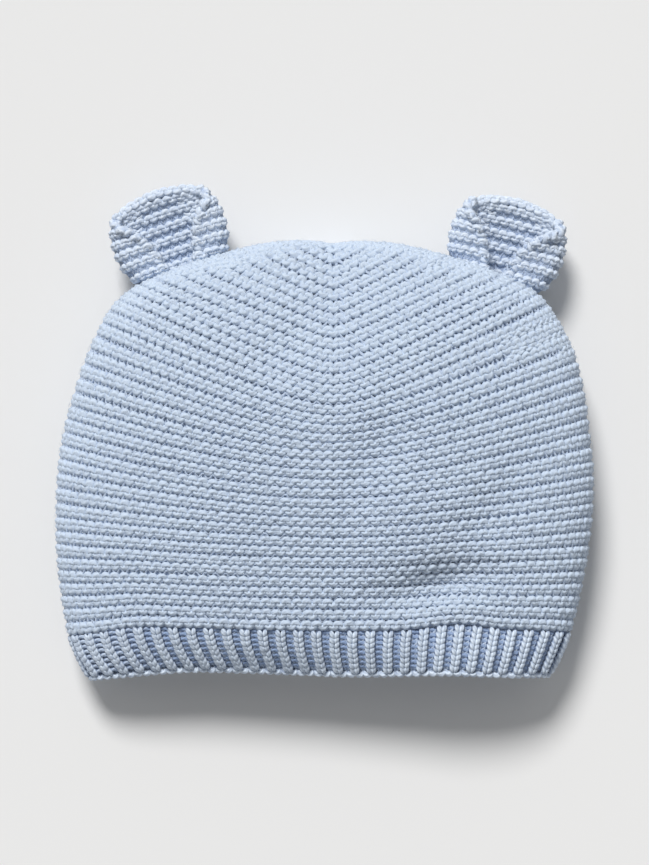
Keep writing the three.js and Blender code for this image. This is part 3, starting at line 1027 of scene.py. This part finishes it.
@dataclass(frozen=True)
class YarnFinish:
    """Soft matt yarn: its two tones, its twist and how strongly the fibres stand out."""

    name: str
    light: tuple[float, float, float] = (0.56, 0.65, 0.77)
    # The deep tone is both the dark end of the random tone and the painted shade of grooves and deep parts.
    deep: tuple[float, float, float] = (0.45, 0.535, 0.69)
    turns: float = 0.42
    fibre: float = 0.7
    drift: float = 0.35
    bump: float = 0.55
    bump_height: float = 0.00025
    roughness: float = 0.92
    sheen: float = 0.25

    def make(self, group: bpy.types.ShaderNodeTree) -> bpy.types.Material:
        """Build the material from the shared yarn effect.

        Args:
            group: the shared effect.

        Returns:
            The material.
        """
        material = bpy.data.materials.new(self.name)
        material.use_nodes = True
        nodes, links = material.node_tree.nodes, material.node_tree.links
        shader = nodes["Principled BSDF"]
        effect = nodes.new("ShaderNodeGroup")
        effect.node_tree = group
        effect.inputs["Light"].default_value = (*self.light, 1)
        effect.inputs["Deep"].default_value = (*self.deep, 1)
        effect.inputs["Turns"].default_value = self.turns
        effect.inputs["Fibre"].default_value = self.fibre
        effect.inputs["Drift"].default_value = self.drift
        bump = nodes.new("ShaderNodeBump")
        bump.inputs["Strength"].default_value = self.bump
        bump.inputs["Distance"].default_value = self.bump_height
        links.new(effect.outputs["Colour"], shader.inputs["Base Color"])
        links.new(effect.outputs["Height"], bump.inputs["Height"])
        links.new(bump.outputs["Normal"], shader.inputs["Normal"])
        shader.inputs["Roughness"].default_value = self.roughness
        shader.inputs["Sheen Weight"].default_value = self.sheen
        shader.inputs["Sheen Roughness"].default_value = 0.5
        shader.inputs["Sheen Tint"].default_value = (0.85, 0.92, 1.0, 1)
        shader.inputs["Specular IOR Level"].default_value = 0.25
        return material


def finish_piece(piece: bpy.types.Object, material: bpy.types.Material, nodes: tuple[str, ...]) -> None:
    """Dress a piece, attach it to the root body and hide the solids that it replaces.

    Args:
        piece: the piece.
        material: its finish.
        nodes: solids that it replaces.
    """
    piece.data.materials.append(material)
    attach(piece, "root")
    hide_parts(*nodes)
    triangles = sum(len(p.vertices) - 2 for p in piece.data.polygons)
    log.info("%s: %d triangles", piece.name, triangles)


# The pieces


class Quarter(Enum):
    """Quarters of the crown: name, start and stop marks round a ring, and whether it is the front."""

    FRONT_LEFT = ("crown_front_left", 0, 1, True)
    FRONT_RIGHT = ("crown_front_right", 2, 1, True)
    BACK_RIGHT = ("crown_back_right", 2, 3, False)
    BACK_LEFT = ("crown_back_left", 4, 3, False)


@dataclass
class Crown:
    """The garter stitch body of the hat, worked from the ribbing to the top."""

    form: HatForm
    ridges: int = 37
    stitch_width: float = 3.3
    samples: int = 240
    wall: float = 3.6
    shell_inset: float = 1.95
    short_row_pitch: float = 5.2
    shell_points: int = 30
    shell_top: float = 0.99
    inside_top: float = 0.955
    inside_ridge: float = 0.35
    seam_zone: float = 0.05
    fibres: float = 0.28
    seam_start: float = 0.62
    seam_tilt: float = 0.02
    seam_inset: float = 0.15
    closing_offset: float = 2.1
    closing_shift: float = 0.4
    closing_top: float = 0.97
    closing_foot: float = 0.08
    closing_stitches: int = 4
    row_waver: tuple[float, ...] = (1.0, 3.0, 0.5, 3.0)
    stitch: Stitch = field(default_factory=Stitch)
    short_stitch: Stitch = field(default_factory=lambda: Stitch(
        radius=0.9, radius_most=0.9, arch_least=0.5, arch_most=0.6))
    back_stitch: Stitch = field(default_factory=lambda: Stitch(knots=(-0.25, -0.12, 0.0, 0.12, 0.25, 0.5)))
    legs: LegWave = field(default_factory=LegWave)

    def lane(self, at: float) -> Lane:
        """The line of a row right round the crown."""
        angles = ring_angles(self.samples)
        return lane_on(self.form.crown, np.full(len(angles), at), angles, 1 / self.ridges, True)

    def marks(self, lane: Lane) -> tuple[float, ...]:
        """Distances of the left end, front's middle, right end, back's middle and left end again."""
        m = self.samples
        return tuple(float(lane.length[i]) for i in (0, m, 2 * m, 3 * m, 4 * m))

    def knit(self, quarter: Quarter) -> bpy.types.Object:
        """Lay all rows of a quarter, from the side of the hat to its middle line.

        Args:
            quarter: which quarter.

        Returns:
            The quarter as one object.
        """
        name, start, stop, front = quarter.value
        mesh = YarnMesh(seed=11 + start + 7 * stop + int(front))
        for ridge in range(self.ridges):
            # A row wavers in the same way in all four quarters, so that they meet.
            wave = np.random.default_rng(900 + ridge).normal(0, 1, 4) * self.row_waver
            row = self.row((ridge + 0.5) / self.ridges, start, stop, front)
            row.lay_into(mesh, self.stitch if front else self.back_stitch, 5 if front else 4, wave)
            if ridge < self.ridges - 1:
                valley = self.row((ridge + 1) / self.ridges, start, stop, front)
                self.legs.lay_into(mesh, valley, 4 if front else 3)
                self.lay_short_row(mesh, valley, front)
        return mesh.write(name)

    def lay_short_row(self, mesh: YarnMesh, valley: GarterRow, front: bool) -> None:
        """Fill the space between two ridges at the hat's side where they spread far apart.

        Args:
            mesh: where the tubes go.
            valley: the valley's row, from the side of the hat inwards.
            front: whether it is on the front.
        """
        reach = np.linspace(0.0, 1.0, 200)
        along = valley.start + (valley.stop - valley.start) * reach
        wide = valley.lane.read(valley.lane.pitch, along) > self.short_row_pitch
        if not wide[0]:
            return
        share = reach[np.argmin(wide)] if not wide.all() else 1.0
        length = abs(valley.stop - valley.start) * share
        count = round(length / self.stitch_width)
        if count >= 1:
            stop = valley.start + (valley.stop - valley.start) * share
            row = GarterRow(valley.lane, valley.start, stop, count, outer_ends=front, inset=0.25)
            row.lay_into(mesh, self.short_stitch, 6)

    def fuzz(self) -> bpy.types.Object:
        """Loose fibres all over the crown, the fewer the shorter a row is.

        Returns:
            The fibres as one object.
        """
        mesh = YarnMesh(seed=67)
        for ridge in range(self.ridges):
            lane = self.lane((ridge + 0.5) / self.ridges)
            Fuzz().lay_into(mesh, lane, max(4, int(lane.total * self.fibres)))
        return mesh.write("crown_fuzz")

    def top_seam(self) -> bpy.types.Object:
        """The row of stitches along the top edge, and the two that close the crown below its middle.

        The edge is the line through both ends of all rings above seam_start. The closing rows
        run from its middle straight down to the floor.

        Returns:
            The seam as one object.
        """
        at = np.linspace(self.seam_start, 1.0, 260)
        left = self.form.crown(at, np.zeros_like(at))
        right = self.form.crown(at[::-1], np.full_like(at, math.pi))
        place = np.vstack([left, right[1:]])
        along = np.gradient(place, axis=0)
        out = unit(np.stack([-along[:, 1], along[:, 0], np.full(len(along), self.seam_tilt)], axis=-1))
        lane = lane_through(place, out)
        count = round(lane.total / self.stitch_width)
        mesh = YarnMesh(seed=61)
        GarterRow.even(lane, 0.0, lane.total, count, inset=self.seam_inset).lay_into(mesh, self.stitch, 6)
        down = np.linspace(self.closing_top, self.closing_foot, 60)
        top = np.repeat(self.form.crown(np.array([1.0]), np.array([0.0])), len(down), axis=0)
        for offset in (-self.closing_offset, self.closing_offset):
            place = np.stack([top[:, 0] + offset, top[:, 1] - self.closing_shift, top[:, 2] * down], axis=-1)
            lane = lane_through(place, np.repeat([[0.0, 1.0, 0.0]], len(down), axis=0))
            GarterRow.even(lane, 0.0, lane.total, self.closing_stitches).lay_into(mesh, self.stitch, 6)
        return mesh.write("crown_top_seam")

    def row(self, at: float, start: int, stop: int, front: bool) -> GarterRow:
        """A row of stitches between two marks of the ring at a place.

        Args:
            at: place up the rows.
            start: mark where the row starts.
            stop: mark where it stops.
            front: whether it is on the front.

        Returns:
            The row.
        """
        lane = self.lane(at)
        marks = self.marks(lane)
        length = abs(marks[stop] - marks[start])
        count = max(1, round(length / self.stitch_width))
        return GarterRow(lane, marks[start], marks[stop], count, outer_ends=front)

    def shell(self) -> bpy.types.Object:
        """The fabric behind the loops: a wall between two offset surfaces, ridged on the inside.

        Outside it lies shell_inset behind the surface, inside wall plus inside_ridge times the
        cosine of a full turn for each ridge.

        Returns:
            The wall as one object.
        """
        outer_places = np.linspace(0.0, self.shell_top, self.ridges + 1)
        inner_places = np.linspace(0.0, self.inside_top, self.ridges * 3)
        outer = self.offset_grid(outer_places, lambda at: self.shell_inset)
        inner = self.offset_grid(
            inner_places, lambda at: self.wall + self.inside_ridge * math.cos(2 * math.pi * at * self.ridges))
        rows = np.concatenate([outer[::-1], inner])
        return write_skin("crown_shell", rows, Ends.FANS, 120.0, 80.0)

    def offset_grid(self, places: np.ndarray, depth: Callable[[float], float]) -> np.ndarray:
        """Rows of points at even distances round the rings, moved inwards by a depth.

        Args:
            places: places up the rows.
            depth: function of a place.

        Returns:
            A grid of points.
        """
        rows = []
        for at in places:
            lane = self.lane(float(at))
            marks = self.marks(lane)
            along = np.concatenate([np.linspace(marks[i], marks[i + 1], self.shell_points, endpoint=False)
                                    for i in range(4)])
            out = unit(lane.read(lane.out, along))
            # Next to the ribbing the offset goes straight in, so that the wall ends on the seam.
            out[:, 1] *= min(1.0, float(at) / self.seam_zone)
            rows.append(lane.read(lane.place, along) - unit(out) * depth(float(at)))
        return np.stack(rows)

    def build(self, material: bpy.types.Material) -> None:
        """Make and dress the crown's pieces.

        Args:
            material: the crown's yarn.
        """
        pieces = [self.knit(quarter) for quarter in Quarter] + [self.top_seam(), self.shell(), self.fuzz()]
        for piece in pieces:
            finish_piece(piece, material, ("crown",))


@dataclass
class Brim:
    """The band of ribbing: raised columns of V stitches between sunk purl columns."""

    form: HatForm
    ribs: int = 62
    rows: int = 8
    samples: int = 160
    wall: float = 3.0
    yarn: float = 0.86
    gap_depth: float = 1.3
    foot: float = 0.95
    edge_place: float = 0.98
    shallow_ribs: float = 6.0
    row_overlap: float = 0.26
    leg_start: float = 0.06
    leg_spread: float = 0.13
    leg_place: float = 0.62
    leg_length: float = 1.28
    uneven_side: float = 0.008
    uneven_row: float = 0.006
    uneven_lift: float = 0.05
    uneven_yarn: float = 0.04
    uneven_tone: float = 0.15
    outer_rise: float = 0.85
    inner_rise: float = 0.2
    inner_drop: float = 0.5
    loop_reach: float = 0.24
    loop_yarn: float = 0.80
    loop_place: float = 0.6
    loop_hang: float = 0.3
    loop_sink: float = 0.4
    uneven_loop: float = 0.06
    shallow_share: float = 0.6
    shade_gain: float = 2.8
    shade_start: float = 0.8
    edge_inset: float = 0.25
    band_depth: float = 3.0
    band_wave: float = 1.2
    lining_slack: float = 0.1
    lining_wave: float = 0.3
    edge_stitch: Stitch = field(default_factory=lambda: Stitch(
        radius=0.86, radius_most=0.86, arch_least=0.5, arch_most=0.5, dive=1.2))

    @property
    def row_height(self) -> float:
        """Height of one row of stitches, as a share of the brim's."""
        return self.foot / (self.rows + self.row_overlap)

    def lane(self, at: float) -> Lane:
        """The line round the brim at a place down the ribbing."""
        angles = ring_angles(self.samples)
        return lane_on(self.form.brim, np.full(len(angles), at), angles, -1 / self.rows, True)

    def stitch_places(self) -> tuple[np.ndarray, np.ndarray]:
        """Rib and row numbers of all stitches, rib by rib."""
        rib, row = np.meshgrid(np.arange(self.ribs), np.arange(self.rows), indexing="ij")
        return rib.ravel(), row.ravel()

    def spread(self, column: np.ndarray, at: np.ndarray, lift: np.ndarray) -> tuple[np.ndarray, np.ndarray]:
        """Points of the brim: column round it in ribs, place down it, and lift out of it.

        Args:
            column: place round the brim, in ribs from the left end.
            at: place down the ribbing.
            lift: distance out of the fabric.

        Returns:
            The points and the outward directions.
        """
        places = np.linspace(-0.1, 1.1, 25)
        lanes = [self.lane(float(place)) for place in places]
        low = np.clip(np.searchsorted(places, at) - 1, 0, len(places) - 2)
        share = (at - places[low]) / (places[1] - places[0])
        point = np.zeros((len(at), 3))
        out = np.zeros((len(at), 3))
        for i, lane in enumerate(lanes):
            weight = np.where(low == i, 1 - share, 0.0) + np.where(low == i - 1, share, 0.0)
            used = weight != 0
            along = column[used] / self.ribs * lane.total
            out_here = unit(lane.read(lane.out, along))
            point[used] += weight[used, None] * lane.read(lane.place, along)
            out[used] += weight[used, None] * out_here
        out = unit(out)
        return point + out * lift[:, None], out

    def tones(self, mesh: YarnMesh, count: int, points: int) -> np.ndarray:
        """A random tone for each of count strands, repeated for each of a strand's points."""
        return np.repeat(np.clip(mesh.rng.normal(0.5, self.uneven_tone, count), 0, 1), points)

    def knit_columns(self, name: str, offset: float, inside: bool) -> bpy.types.Object:
        """Two legs for each V stitch: each rises out of the fabric, leans outwards and dives again.

        With tau from 0 to 1 up a leg, it stands leg_start + leg_spread tau to the power of 0.85
        from the column's middle, and its lift and radius swell and fall with a sine of tau.

        Args:
            name: the object's name.
            offset: shift round the brim, in ribs.
            inside: whether the columns face the inside of the hat.

        Returns:
            The columns as one object.
        """
        mesh = YarnMesh(seed=70 + int(inside))
        rib, row = self.stitch_places()
        tau = np.linspace(0.0, 1.0, 4 if inside else 7)
        height = self.row_height
        count = len(rib)
        for side in (-1.0, 1.0):
            lean = self.leg_start + self.leg_spread * tau ** 0.85
            x = side * lean[None, :] + mesh.rng.normal(0, self.uneven_side, (count, 1))
            down = (row[:, None] + self.leg_place - self.leg_length * (tau[None, :] - 0.5)) * height
            down = down + mesh.rng.normal(0, self.uneven_row, (count, 1))
            swell = np.sin(math.pi * (0.1 + 0.84 * tau)) ** 0.8
            rise = self.inner_rise if inside else self.outer_rise
            lift = -self.yarn - rise + rise * swell[None, :] + mesh.rng.normal(0, self.uneven_lift, (count, 1))
            if inside:
                lift = -self.wall - self.inner_drop - lift
            column = rib[:, None] + 0.5 + offset + x
            point, out = self.spread(column.ravel(), down.ravel(), lift.ravel())
            if inside:
                out = -out
            radius = self.yarn * (0.62 + 0.4 * np.sin(math.pi * (0.12 + 0.76 * tau)))
            radius = np.repeat(radius[None, :], count, axis=0) * mesh.rng.normal(1, self.uneven_yarn, (count, 1))
            tone = self.tones(mesh, count, len(tau))
            # The legs are painted darker towards their ends, where they dive, through 1 - swell: painted shade.
            mesh.tubes(point, out, radius.ravel(), np.full(count, len(tau)), 4 if inside else 6, tone,
                       np.tile(1 - swell, count))
        return mesh.write(name)

    def purl_columns(self) -> bpy.types.Object:
        """Short loops that cross the sunk columns, one for each row.

        With tau from -1 to 1 across a loop, it hangs and lies deeper by the square of tau. The
        columns are shallower in the first few ribs at the left, where the band is stretched.

        Returns:
            The loops as one object.
        """
        mesh = YarnMesh(seed=81)
        rib, row = self.stitch_places()
        tau = np.linspace(-1.0, 1.0, 5)
        count = len(rib)
        column = rib[:, None] + tau[None, :] * self.loop_reach
        down = (row[:, None] + self.loop_place - self.loop_hang * (1 - tau[None, :] ** 2)) * self.row_height
        depth = self.gap_depth * (1 - self.shallow_share * np.exp(-(rib / self.shallow_ribs) ** 4))[:, None]
        sink = self.loop_sink * tau[None, :] ** 2
        lift = -depth - self.yarn - sink + mesh.rng.normal(0, self.uneven_loop, (count, 1))
        point, out = self.spread(column.ravel(), down.ravel(), lift.ravel())
        tone = self.tones(mesh, count, len(tau))
        # Painted shade: the deeper a loop lies, the more of the deep tone it takes.
        shade = np.repeat(self.shade_gain * depth[:, 0] / self.gap_depth - self.shade_start, len(tau))
        radius = np.full(len(point), self.yarn * self.loop_yarn)
        mesh.tubes(point, out, radius, np.full(count, len(tau)), 5, tone, shade)
        return mesh.write("brim_purl_columns")

    def edge(self) -> bpy.types.Object:
        """The cast-on edge: two hanging loops below each rib, along the outside and along the inside.

        Returns:
            The edge as one object.
        """
        mesh = YarnMesh(seed=85)
        lane = self.lane(self.edge_place)
        lane.up = -lane.up if lane.up[self.samples, 1] < 0 else lane.up
        shift = lane.total / self.ribs / 4
        for inset in (self.edge_inset, self.wall - 2 * self.yarn - self.lining_slack):
            row = GarterRow.even(lane, shift, lane.total + shift, self.ribs * 2, inset)
            row.lay_into(mesh, self.edge_stitch, 6, chains=(-1.0,))
        return mesh.write("brim_edge")

    def band(self) -> bpy.types.Object:
        """The fabric behind the ribs: a wall that waves by a raised cosine, out at each rib.

        Returns:
            The wall as one object.
        """
        per_rib = 6
        column = np.arange(self.ribs * per_rib) / per_rib
        wave = 0.5 + 0.5 * np.cos(2 * math.pi * (column - 0.5))
        rows = []
        for at in np.linspace(0.0, self.foot, 7):
            lift = -self.band_depth + self.band_wave * wave
            rows.append(self.spread(column, np.full(len(column), at), lift)[0])
        inner = []
        for at in np.linspace(self.foot, 0.0, 7):
            lift = -self.wall - self.lining_slack + self.lining_wave * wave
            inner.append(self.spread(column, np.full(len(column), at), lift)[0])
        return write_skin("brim_band", np.stack(rows + inner), Ends.JOINED, 124.0, 16.0)

    def build(self, raised: bpy.types.Material, sunk: bpy.types.Material) -> None:
        """Make and dress the brim's pieces.

        Args:
            raised: finish of the knit columns and the edge.
            sunk: a darker copy of the yarn for the purl columns and what lies behind them, painted shade for where
                less light comes.
        """
        pieces = [(self.knit_columns("brim_knit_columns", 0.0, False), raised),
                  (self.knit_columns("brim_inner_columns", 0.5, True), sunk),
                  (self.purl_columns(), sunk), (self.edge(), raised), (self.band(), sunk)]
        for piece, material in pieces:
            finish_piece(piece, material, ("brim",))


@dataclass
class Ear:
    """A half-round piece of garter stitch whose sides roll forward over a shallow cup."""

    form: HatForm
    node: str
    base_x: float
    base_y: float
    lean: float
    flap_left: float
    flap_right: float
    width: float = 41.0
    height: float = 30.0
    wall: float = 4.2
    curl: float = 3.4
    cup: float = 3.0
    lift: float = 9.0
    bury: float = 6.0
    ridges: int = 7
    first: float = 0.10
    last: float = 0.96
    tip_bow: float = 0.08
    stitch_width: float = 3.1
    stitch: Stitch = field(default_factory=lambda: Stitch(
        radius=1.02, radius_most=1.02, arch_least=0.6, arch_most=0.8, dive=1.1))
    side_stitch: Stitch = field(default_factory=lambda: Stitch(
        radius=0.84, radius_most=0.84, arch_least=0.5, arch_most=0.55, dive=0.8,
        knots=(-0.25, -0.12, 0.0, 0.12, 0.25, 0.5)))
    legs: LegWave = field(default_factory=lambda: LegWave(depth=1.5, radius=0.52))
    leg_width: float = 2.3
    cup_share: float = 0.40
    rim_reach: float = 2.1
    cup_end: float = 0.4
    roll_end: float = 0.8
    flap_part: float = 0.2
    tip: float = 0.98
    row_waver: tuple[float, ...] = (0.6, 3.0, 0.4, 3.0)
    core_inset: float = 1.35
    core_foot: float = 0.08
    core_top: float = 0.93
    core_reach: float = 0.985
    rim_at: float = 0.955
    rim_across: float = 0.97
    tip_reach: float = 0.92
    flap_top: float = 0.9

    def section(self, at: np.ndarray, column: EarColumn) -> np.ndarray:
        """A column of the ear's section table at places along the ear."""
        return read_table(EAR_SECTIONS, column, np.clip(at, 0.0, self.tip))

    def sheet(self, at: np.ndarray, across: np.ndarray) -> np.ndarray:
        """Middle surface of the ear: flap, roll, cup, roll and flap, from across -1 to 1.

        As far as cup_end it is the cup, a parabola. From there to roll_end it is the roll, an
        arc of the curl's radius, and the rest is the flap, straight on.

        Args:
            at: place along the ear, 0 at its buried end and 1 at the tip.
            across: place across it.

        Returns:
            Points with a last axis of three.
        """
        at, across = np.broadcast_arrays(np.asarray(at, float), np.asarray(across, float))
        half = (self.width - self.wall) / 2 * self.section(at, EarColumn.WIDTH)
        curl = self.curl * self.section(at, EarColumn.CURL)
        turn = math.pi * self.section(at, EarColumn.TURN)
        flap_share = np.where(across < 0, self.flap_left, self.flap_right)
        flap = np.maximum(self.wall / 3, flap_share * self.width * self.section(at, EarColumn.FLAP) - curl)
        sign = np.sign(across)
        size = np.abs(across)
        in_cup = np.clip(size / self.cup_end, 0, 1)
        angle = turn * np.clip((size - self.cup_end) / (self.roll_end - self.cup_end), 0, 1)
        straight = flap * np.clip((size - self.roll_end) / self.flap_part, 0, 1)
        x = sign * ((half - curl) * in_cup + curl * np.sin(angle) + np.cos(turn) * straight)
        cup = -self.cup * self.section(at, EarColumn.CUP) * (1 - in_cup ** 2)
        z = cup + curl * (1 - np.cos(angle)) + np.sin(turn) * straight
        y = (self.height + self.bury) * at - self.bury
        z = z + self.curl * self.section(at, EarColumn.LIFT) + self.lift
        cos, sin = math.cos(math.radians(self.lean)), math.sin(math.radians(self.lean))
        world_x = x * cos + y * sin + self.base_x * self.form.half_width + self.form.origin[0]
        world_y = y * cos - x * sin + self.base_y * self.form.crown_height + self.form.origin[1]
        return np.stack([world_x, world_y, z], axis=-1)

    def bowed(self, at: np.ndarray | float, across: np.ndarray) -> np.ndarray:
        """Place of a row that bends down towards the sides, the more the nearer it is to the tip.

        The drop grows with the cube of the place and with the square of the place across.

        Args:
            at: place along the ear in its middle.
            across: places across it.

        Returns:
            The places along the ear.
        """
        drop = self.tip_bow * (at / 0.9) ** 3 * (np.minimum(np.abs(across), 0.6) / 0.6) ** 2
        return np.clip(at - drop, 0.0, self.tip)

    def place_of(self, ridge: float) -> float:
        """Place of a ridge along the ear, counted from the crown."""
        return self.first + (self.last - self.first) * (ridge + 0.5) / self.ridges

    def row(self, at: float, face: float) -> GarterRow:
        """A row across one face of the ear.

        Args:
            at: place along the ear.
            face: 1 for the cup's side and -1 for the other.

        Returns:
            The row.
        """
        across = np.linspace(-1.0, 1.0, 301)
        lane = lane_on(self.sheet, self.bowed(at, across), across, (self.last - self.first) / self.ridges, False)
        middle = len(across) // 2
        if lane.out[middle, 2] < 0:
            lane.out = -lane.out
        lane.out = lane.out * face
        lane.place = lane.place + lane.out * self.wall / 2
        if lane.up[middle, 1] < 0:
            lane.up = -lane.up
        gaps = np.linalg.norm(np.diff(lane.place, axis=0), axis=-1)
        lane.length = np.concatenate([[0.0], np.cumsum(gaps)])
        count = max(3, round(lane.total / self.stitch_width))
        return GarterRow.even(lane, 0.0, lane.total, count)

    def knit(self) -> bpy.types.Object:
        """Lay the rows of both faces and the rows and strands that round off the rim.

        Returns:
            The knitting as one object.
        """
        mesh = YarnMesh(seed=200 + int(self.lean))
        for face in (1.0, -1.0):
            for ridge in range(self.ridges):
                wave = mesh.rng.normal(0, 1, 4) * self.row_waver
                self.row(self.place_of(ridge), face).lay_into(mesh, self.stitch, 6 if face > 0 else 4, wave)
                if ridge < self.ridges - 1:
                    self.lay_valley(mesh, self.row(self.place_of(ridge + 0.5), face), face)
        tip, *sides = self.rims()
        for face in (1.0, -1.0):
            tilted = unit(face * tip.out + tip.up)
            lane = lane_through(tip.place + tilted * self.rim_reach, tilted)
            count = round(lane.total / self.stitch_width)
            GarterRow.even(lane, 0.0, lane.total, count).lay_into(mesh, self.stitch, 6)
        for lane in sides:
            mesh.rope(lane, coil=0.75, radius=1.1, turn=2.9)
        return mesh.write(self.node + "_knit")

    def lay_valley(self, mesh: YarnMesh, valley: GarterRow, face: float) -> None:
        """Lay what shows between two ridges: legs in the cup, and short rows over the two rolls.

        Args:
            mesh: where the tubes go.
            valley: the valley's row, right across the face.
            face: 1 for the cup's side and -1 for the other.
        """
        lane = valley.lane
        low, high = lane.total * (1 - self.cup_share) / 2, lane.total * (1 + self.cup_share) / 2
        if face < 0:
            low, high = 0.0, lane.total
        count = round((high - low) / self.leg_width)
        self.legs.lay_into(mesh, GarterRow.even(lane, low, high, count), 4 if face > 0 else 3)
        if face > 0:
            for start, stop in ((0.0, low), (high, lane.total)):
                count = max(2, round((stop - start) / self.stitch_width))
                GarterRow.even(lane, start, stop, count, inset=0.3).lay_into(mesh, self.side_stitch, 5)

    def rims(self) -> list[Lane]:
        """Lines along the tip and along the free edges of the two flaps.

        Returns:
            The tip's line and the two flaps' lines.
        """
        across = np.linspace(-self.tip_reach, self.tip_reach, 220)
        at = np.linspace(self.first, self.flap_top, 90)
        paths = [(self.bowed(self.rim_at, across), across)]
        for side in (np.full_like(at, -self.rim_across), np.full_like(at, self.rim_across)):
            paths.append((self.bowed(at, side), side))
        lanes = []
        for places, sides in paths:
            middle = self.sheet(places, sides)
            step = 0.02
            wide = self.sheet(places, sides + step) - self.sheet(places, sides - step)
            high = self.sheet(places + step, sides) - self.sheet(places - step, sides)
            lanes.append(lane_through(middle, unit(np.cross(wide, high))))
        return lanes

    def core(self) -> bpy.types.Object:
        """The fabric between the two faces: a thin band round the middle surface.

        Returns:
            The band as one object.
        """
        places = np.linspace(self.core_foot, self.core_top, 28)
        across = np.linspace(-self.core_reach, self.core_reach, 72)
        grid_at, grid_across = np.meshgrid(places, across, indexing="ij")
        grid_at = self.bowed(grid_at, grid_across)
        middle = self.sheet(grid_at, grid_across)
        d_at = self.sheet(grid_at + 0.01, grid_across) - self.sheet(grid_at - 0.01, grid_across)
        d_across = np.gradient(middle, axis=1)
        out = unit(np.cross(d_across, d_at))
        half = self.wall / 2 - self.core_inset
        rows = np.concatenate([middle + out * half, (middle - out * half)[:, ::-1]], axis=1)
        return write_skin(self.node + "_core", rows, Ends.STRIPS, 30.0, 20.0)

    def build(self, material: bpy.types.Material) -> None:
        """Make and dress the ear's pieces.

        Args:
            material: the ear's yarn.
        """
        for piece in (self.knit(), self.core()):
            finish_piece(piece, material, (self.node,))


# The surroundings


@dataclass
class Studio:
    """The pale floor, the soft lights and the camera straight above."""

    lens: float = 120.0
    sensor: float = 36.0
    frame_height: float = 0.2932
    outline_height: float = 0.016
    floor_tone: float = 0.82
    sun: float = 3.05
    sky: float = 0.32
    elevation: float = 44.5
    softness: float = 19.0
    from_left: float = 16.0

    def floor(self) -> None:
        """A wide pale floor."""
        bpy.ops.mesh.primitive_plane_add(size=8.0, location=(0, 0, 0))
        plane = bpy.context.object
        plane.name = "floor"
        material = bpy.data.materials.new("floor_paper")
        material.use_nodes = True
        shader = material.node_tree.nodes["Principled BSDF"]
        shader.inputs["Base Color"].default_value = (self.floor_tone,) * 3 + (1,)
        shader.inputs["Roughness"].default_value = 0.95
        shader.inputs["Specular IOR Level"].default_value = 0.1
        plane.data.materials.append(material)

    def camera(self) -> None:
        """A camera over the middle of the hat, far enough to frame the photograph's height."""
        data = bpy.data.cameras.new("camera")
        data.lens = self.lens
        data.sensor_width = self.sensor
        data.clip_start = 0.01
        eye = bpy.data.objects.new("camera", data)
        eye.location = (0, 0, self.frame_height * self.lens / self.sensor + self.outline_height)
        bpy.context.scene.collection.objects.link(eye)
        bpy.context.scene.camera = eye

    def daylight(self) -> None:
        """One large soft light from beyond the ears, a little from the left."""
        data = bpy.data.lights.new("window", "SUN")
        data.energy = self.sun
        data.angle = math.radians(self.softness)
        data.color = (1.0, 0.99, 0.975)
        lamp = bpy.data.objects.new("window", data)
        lamp.rotation_euler = (-math.radians(90 - self.elevation), 0, math.radians(self.from_left))
        bpy.context.scene.collection.objects.link(lamp)

    def build(self) -> None:
        """Set up the floor, the lights, the camera and the plain picture style."""
        self.floor()
        self.camera()
        self.daylight()
        world = bpy.data.worlds.new("studio")
        world.use_nodes = True
        back = world.node_tree.nodes["Background"]
        back.inputs["Color"].default_value = (0.97, 0.985, 1.0, 1)
        back.inputs["Strength"].default_value = self.sky
        bpy.context.scene.world = world
        bpy.context.scene.view_settings.view_transform = "Standard"
        bpy.context.scene.view_settings.look = "None"


def main() -> None:
    """Build the hat piece by piece, then its surroundings."""
    logging.basicConfig(level=logging.INFO, format="%(message)s")
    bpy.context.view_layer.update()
    brim_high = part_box("brim")[1]
    crown_low, crown_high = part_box("crown")
    middle = (float(crown_low[0]) + float(crown_high[0])) / 2 / MM
    form = HatForm(origin=(middle, float(brim_high[1]) / MM + HatForm.seat_gap))
    group = make_yarn_group()
    crown_yarn = YarnFinish("crown_yarn").make(group)
    # A lighter copy of the yarn: painted light on the brim, which slopes away from the lamp; its very dark deep
    # tone paints shade into the ends of the legs and the edge.
    brim_yarn = YarnFinish("brim_yarn", light=(0.71, 0.80, 0.915), deep=(0.13, 0.19, 0.335)).make(group)
    # A darker copy of the brim's yarn for its sunk parts: painted shade.
    gap_yarn = YarnFinish("brim_gap_yarn", light=(0.60, 0.69, 0.82), deep=(0.30, 0.40, 0.60)).make(group)
    # A lighter copy of the yarn: painted light on the ears' rolls, which lean away from the lamp.
    ear_yarn = YarnFinish("ear_yarn", light=(0.69, 0.765, 0.87), deep=(0.38, 0.475, 0.66)).make(group)
    Crown(form).build(crown_yarn)
    Brim(form).build(brim_yarn, gap_yarn)
    Ear(form, "ear_left", base_x=-0.526, base_y=0.912, lean=-19.0, flap_left=0.33, flap_right=0.29).build(ear_yarn)
    Ear(form, "ear_right", base_x=0.637, base_y=0.886, lean=15.0, flap_left=0.33, flap_right=0.40).build(ear_yarn)
    Studio().build()


if __name__ == "__main__":
    main()
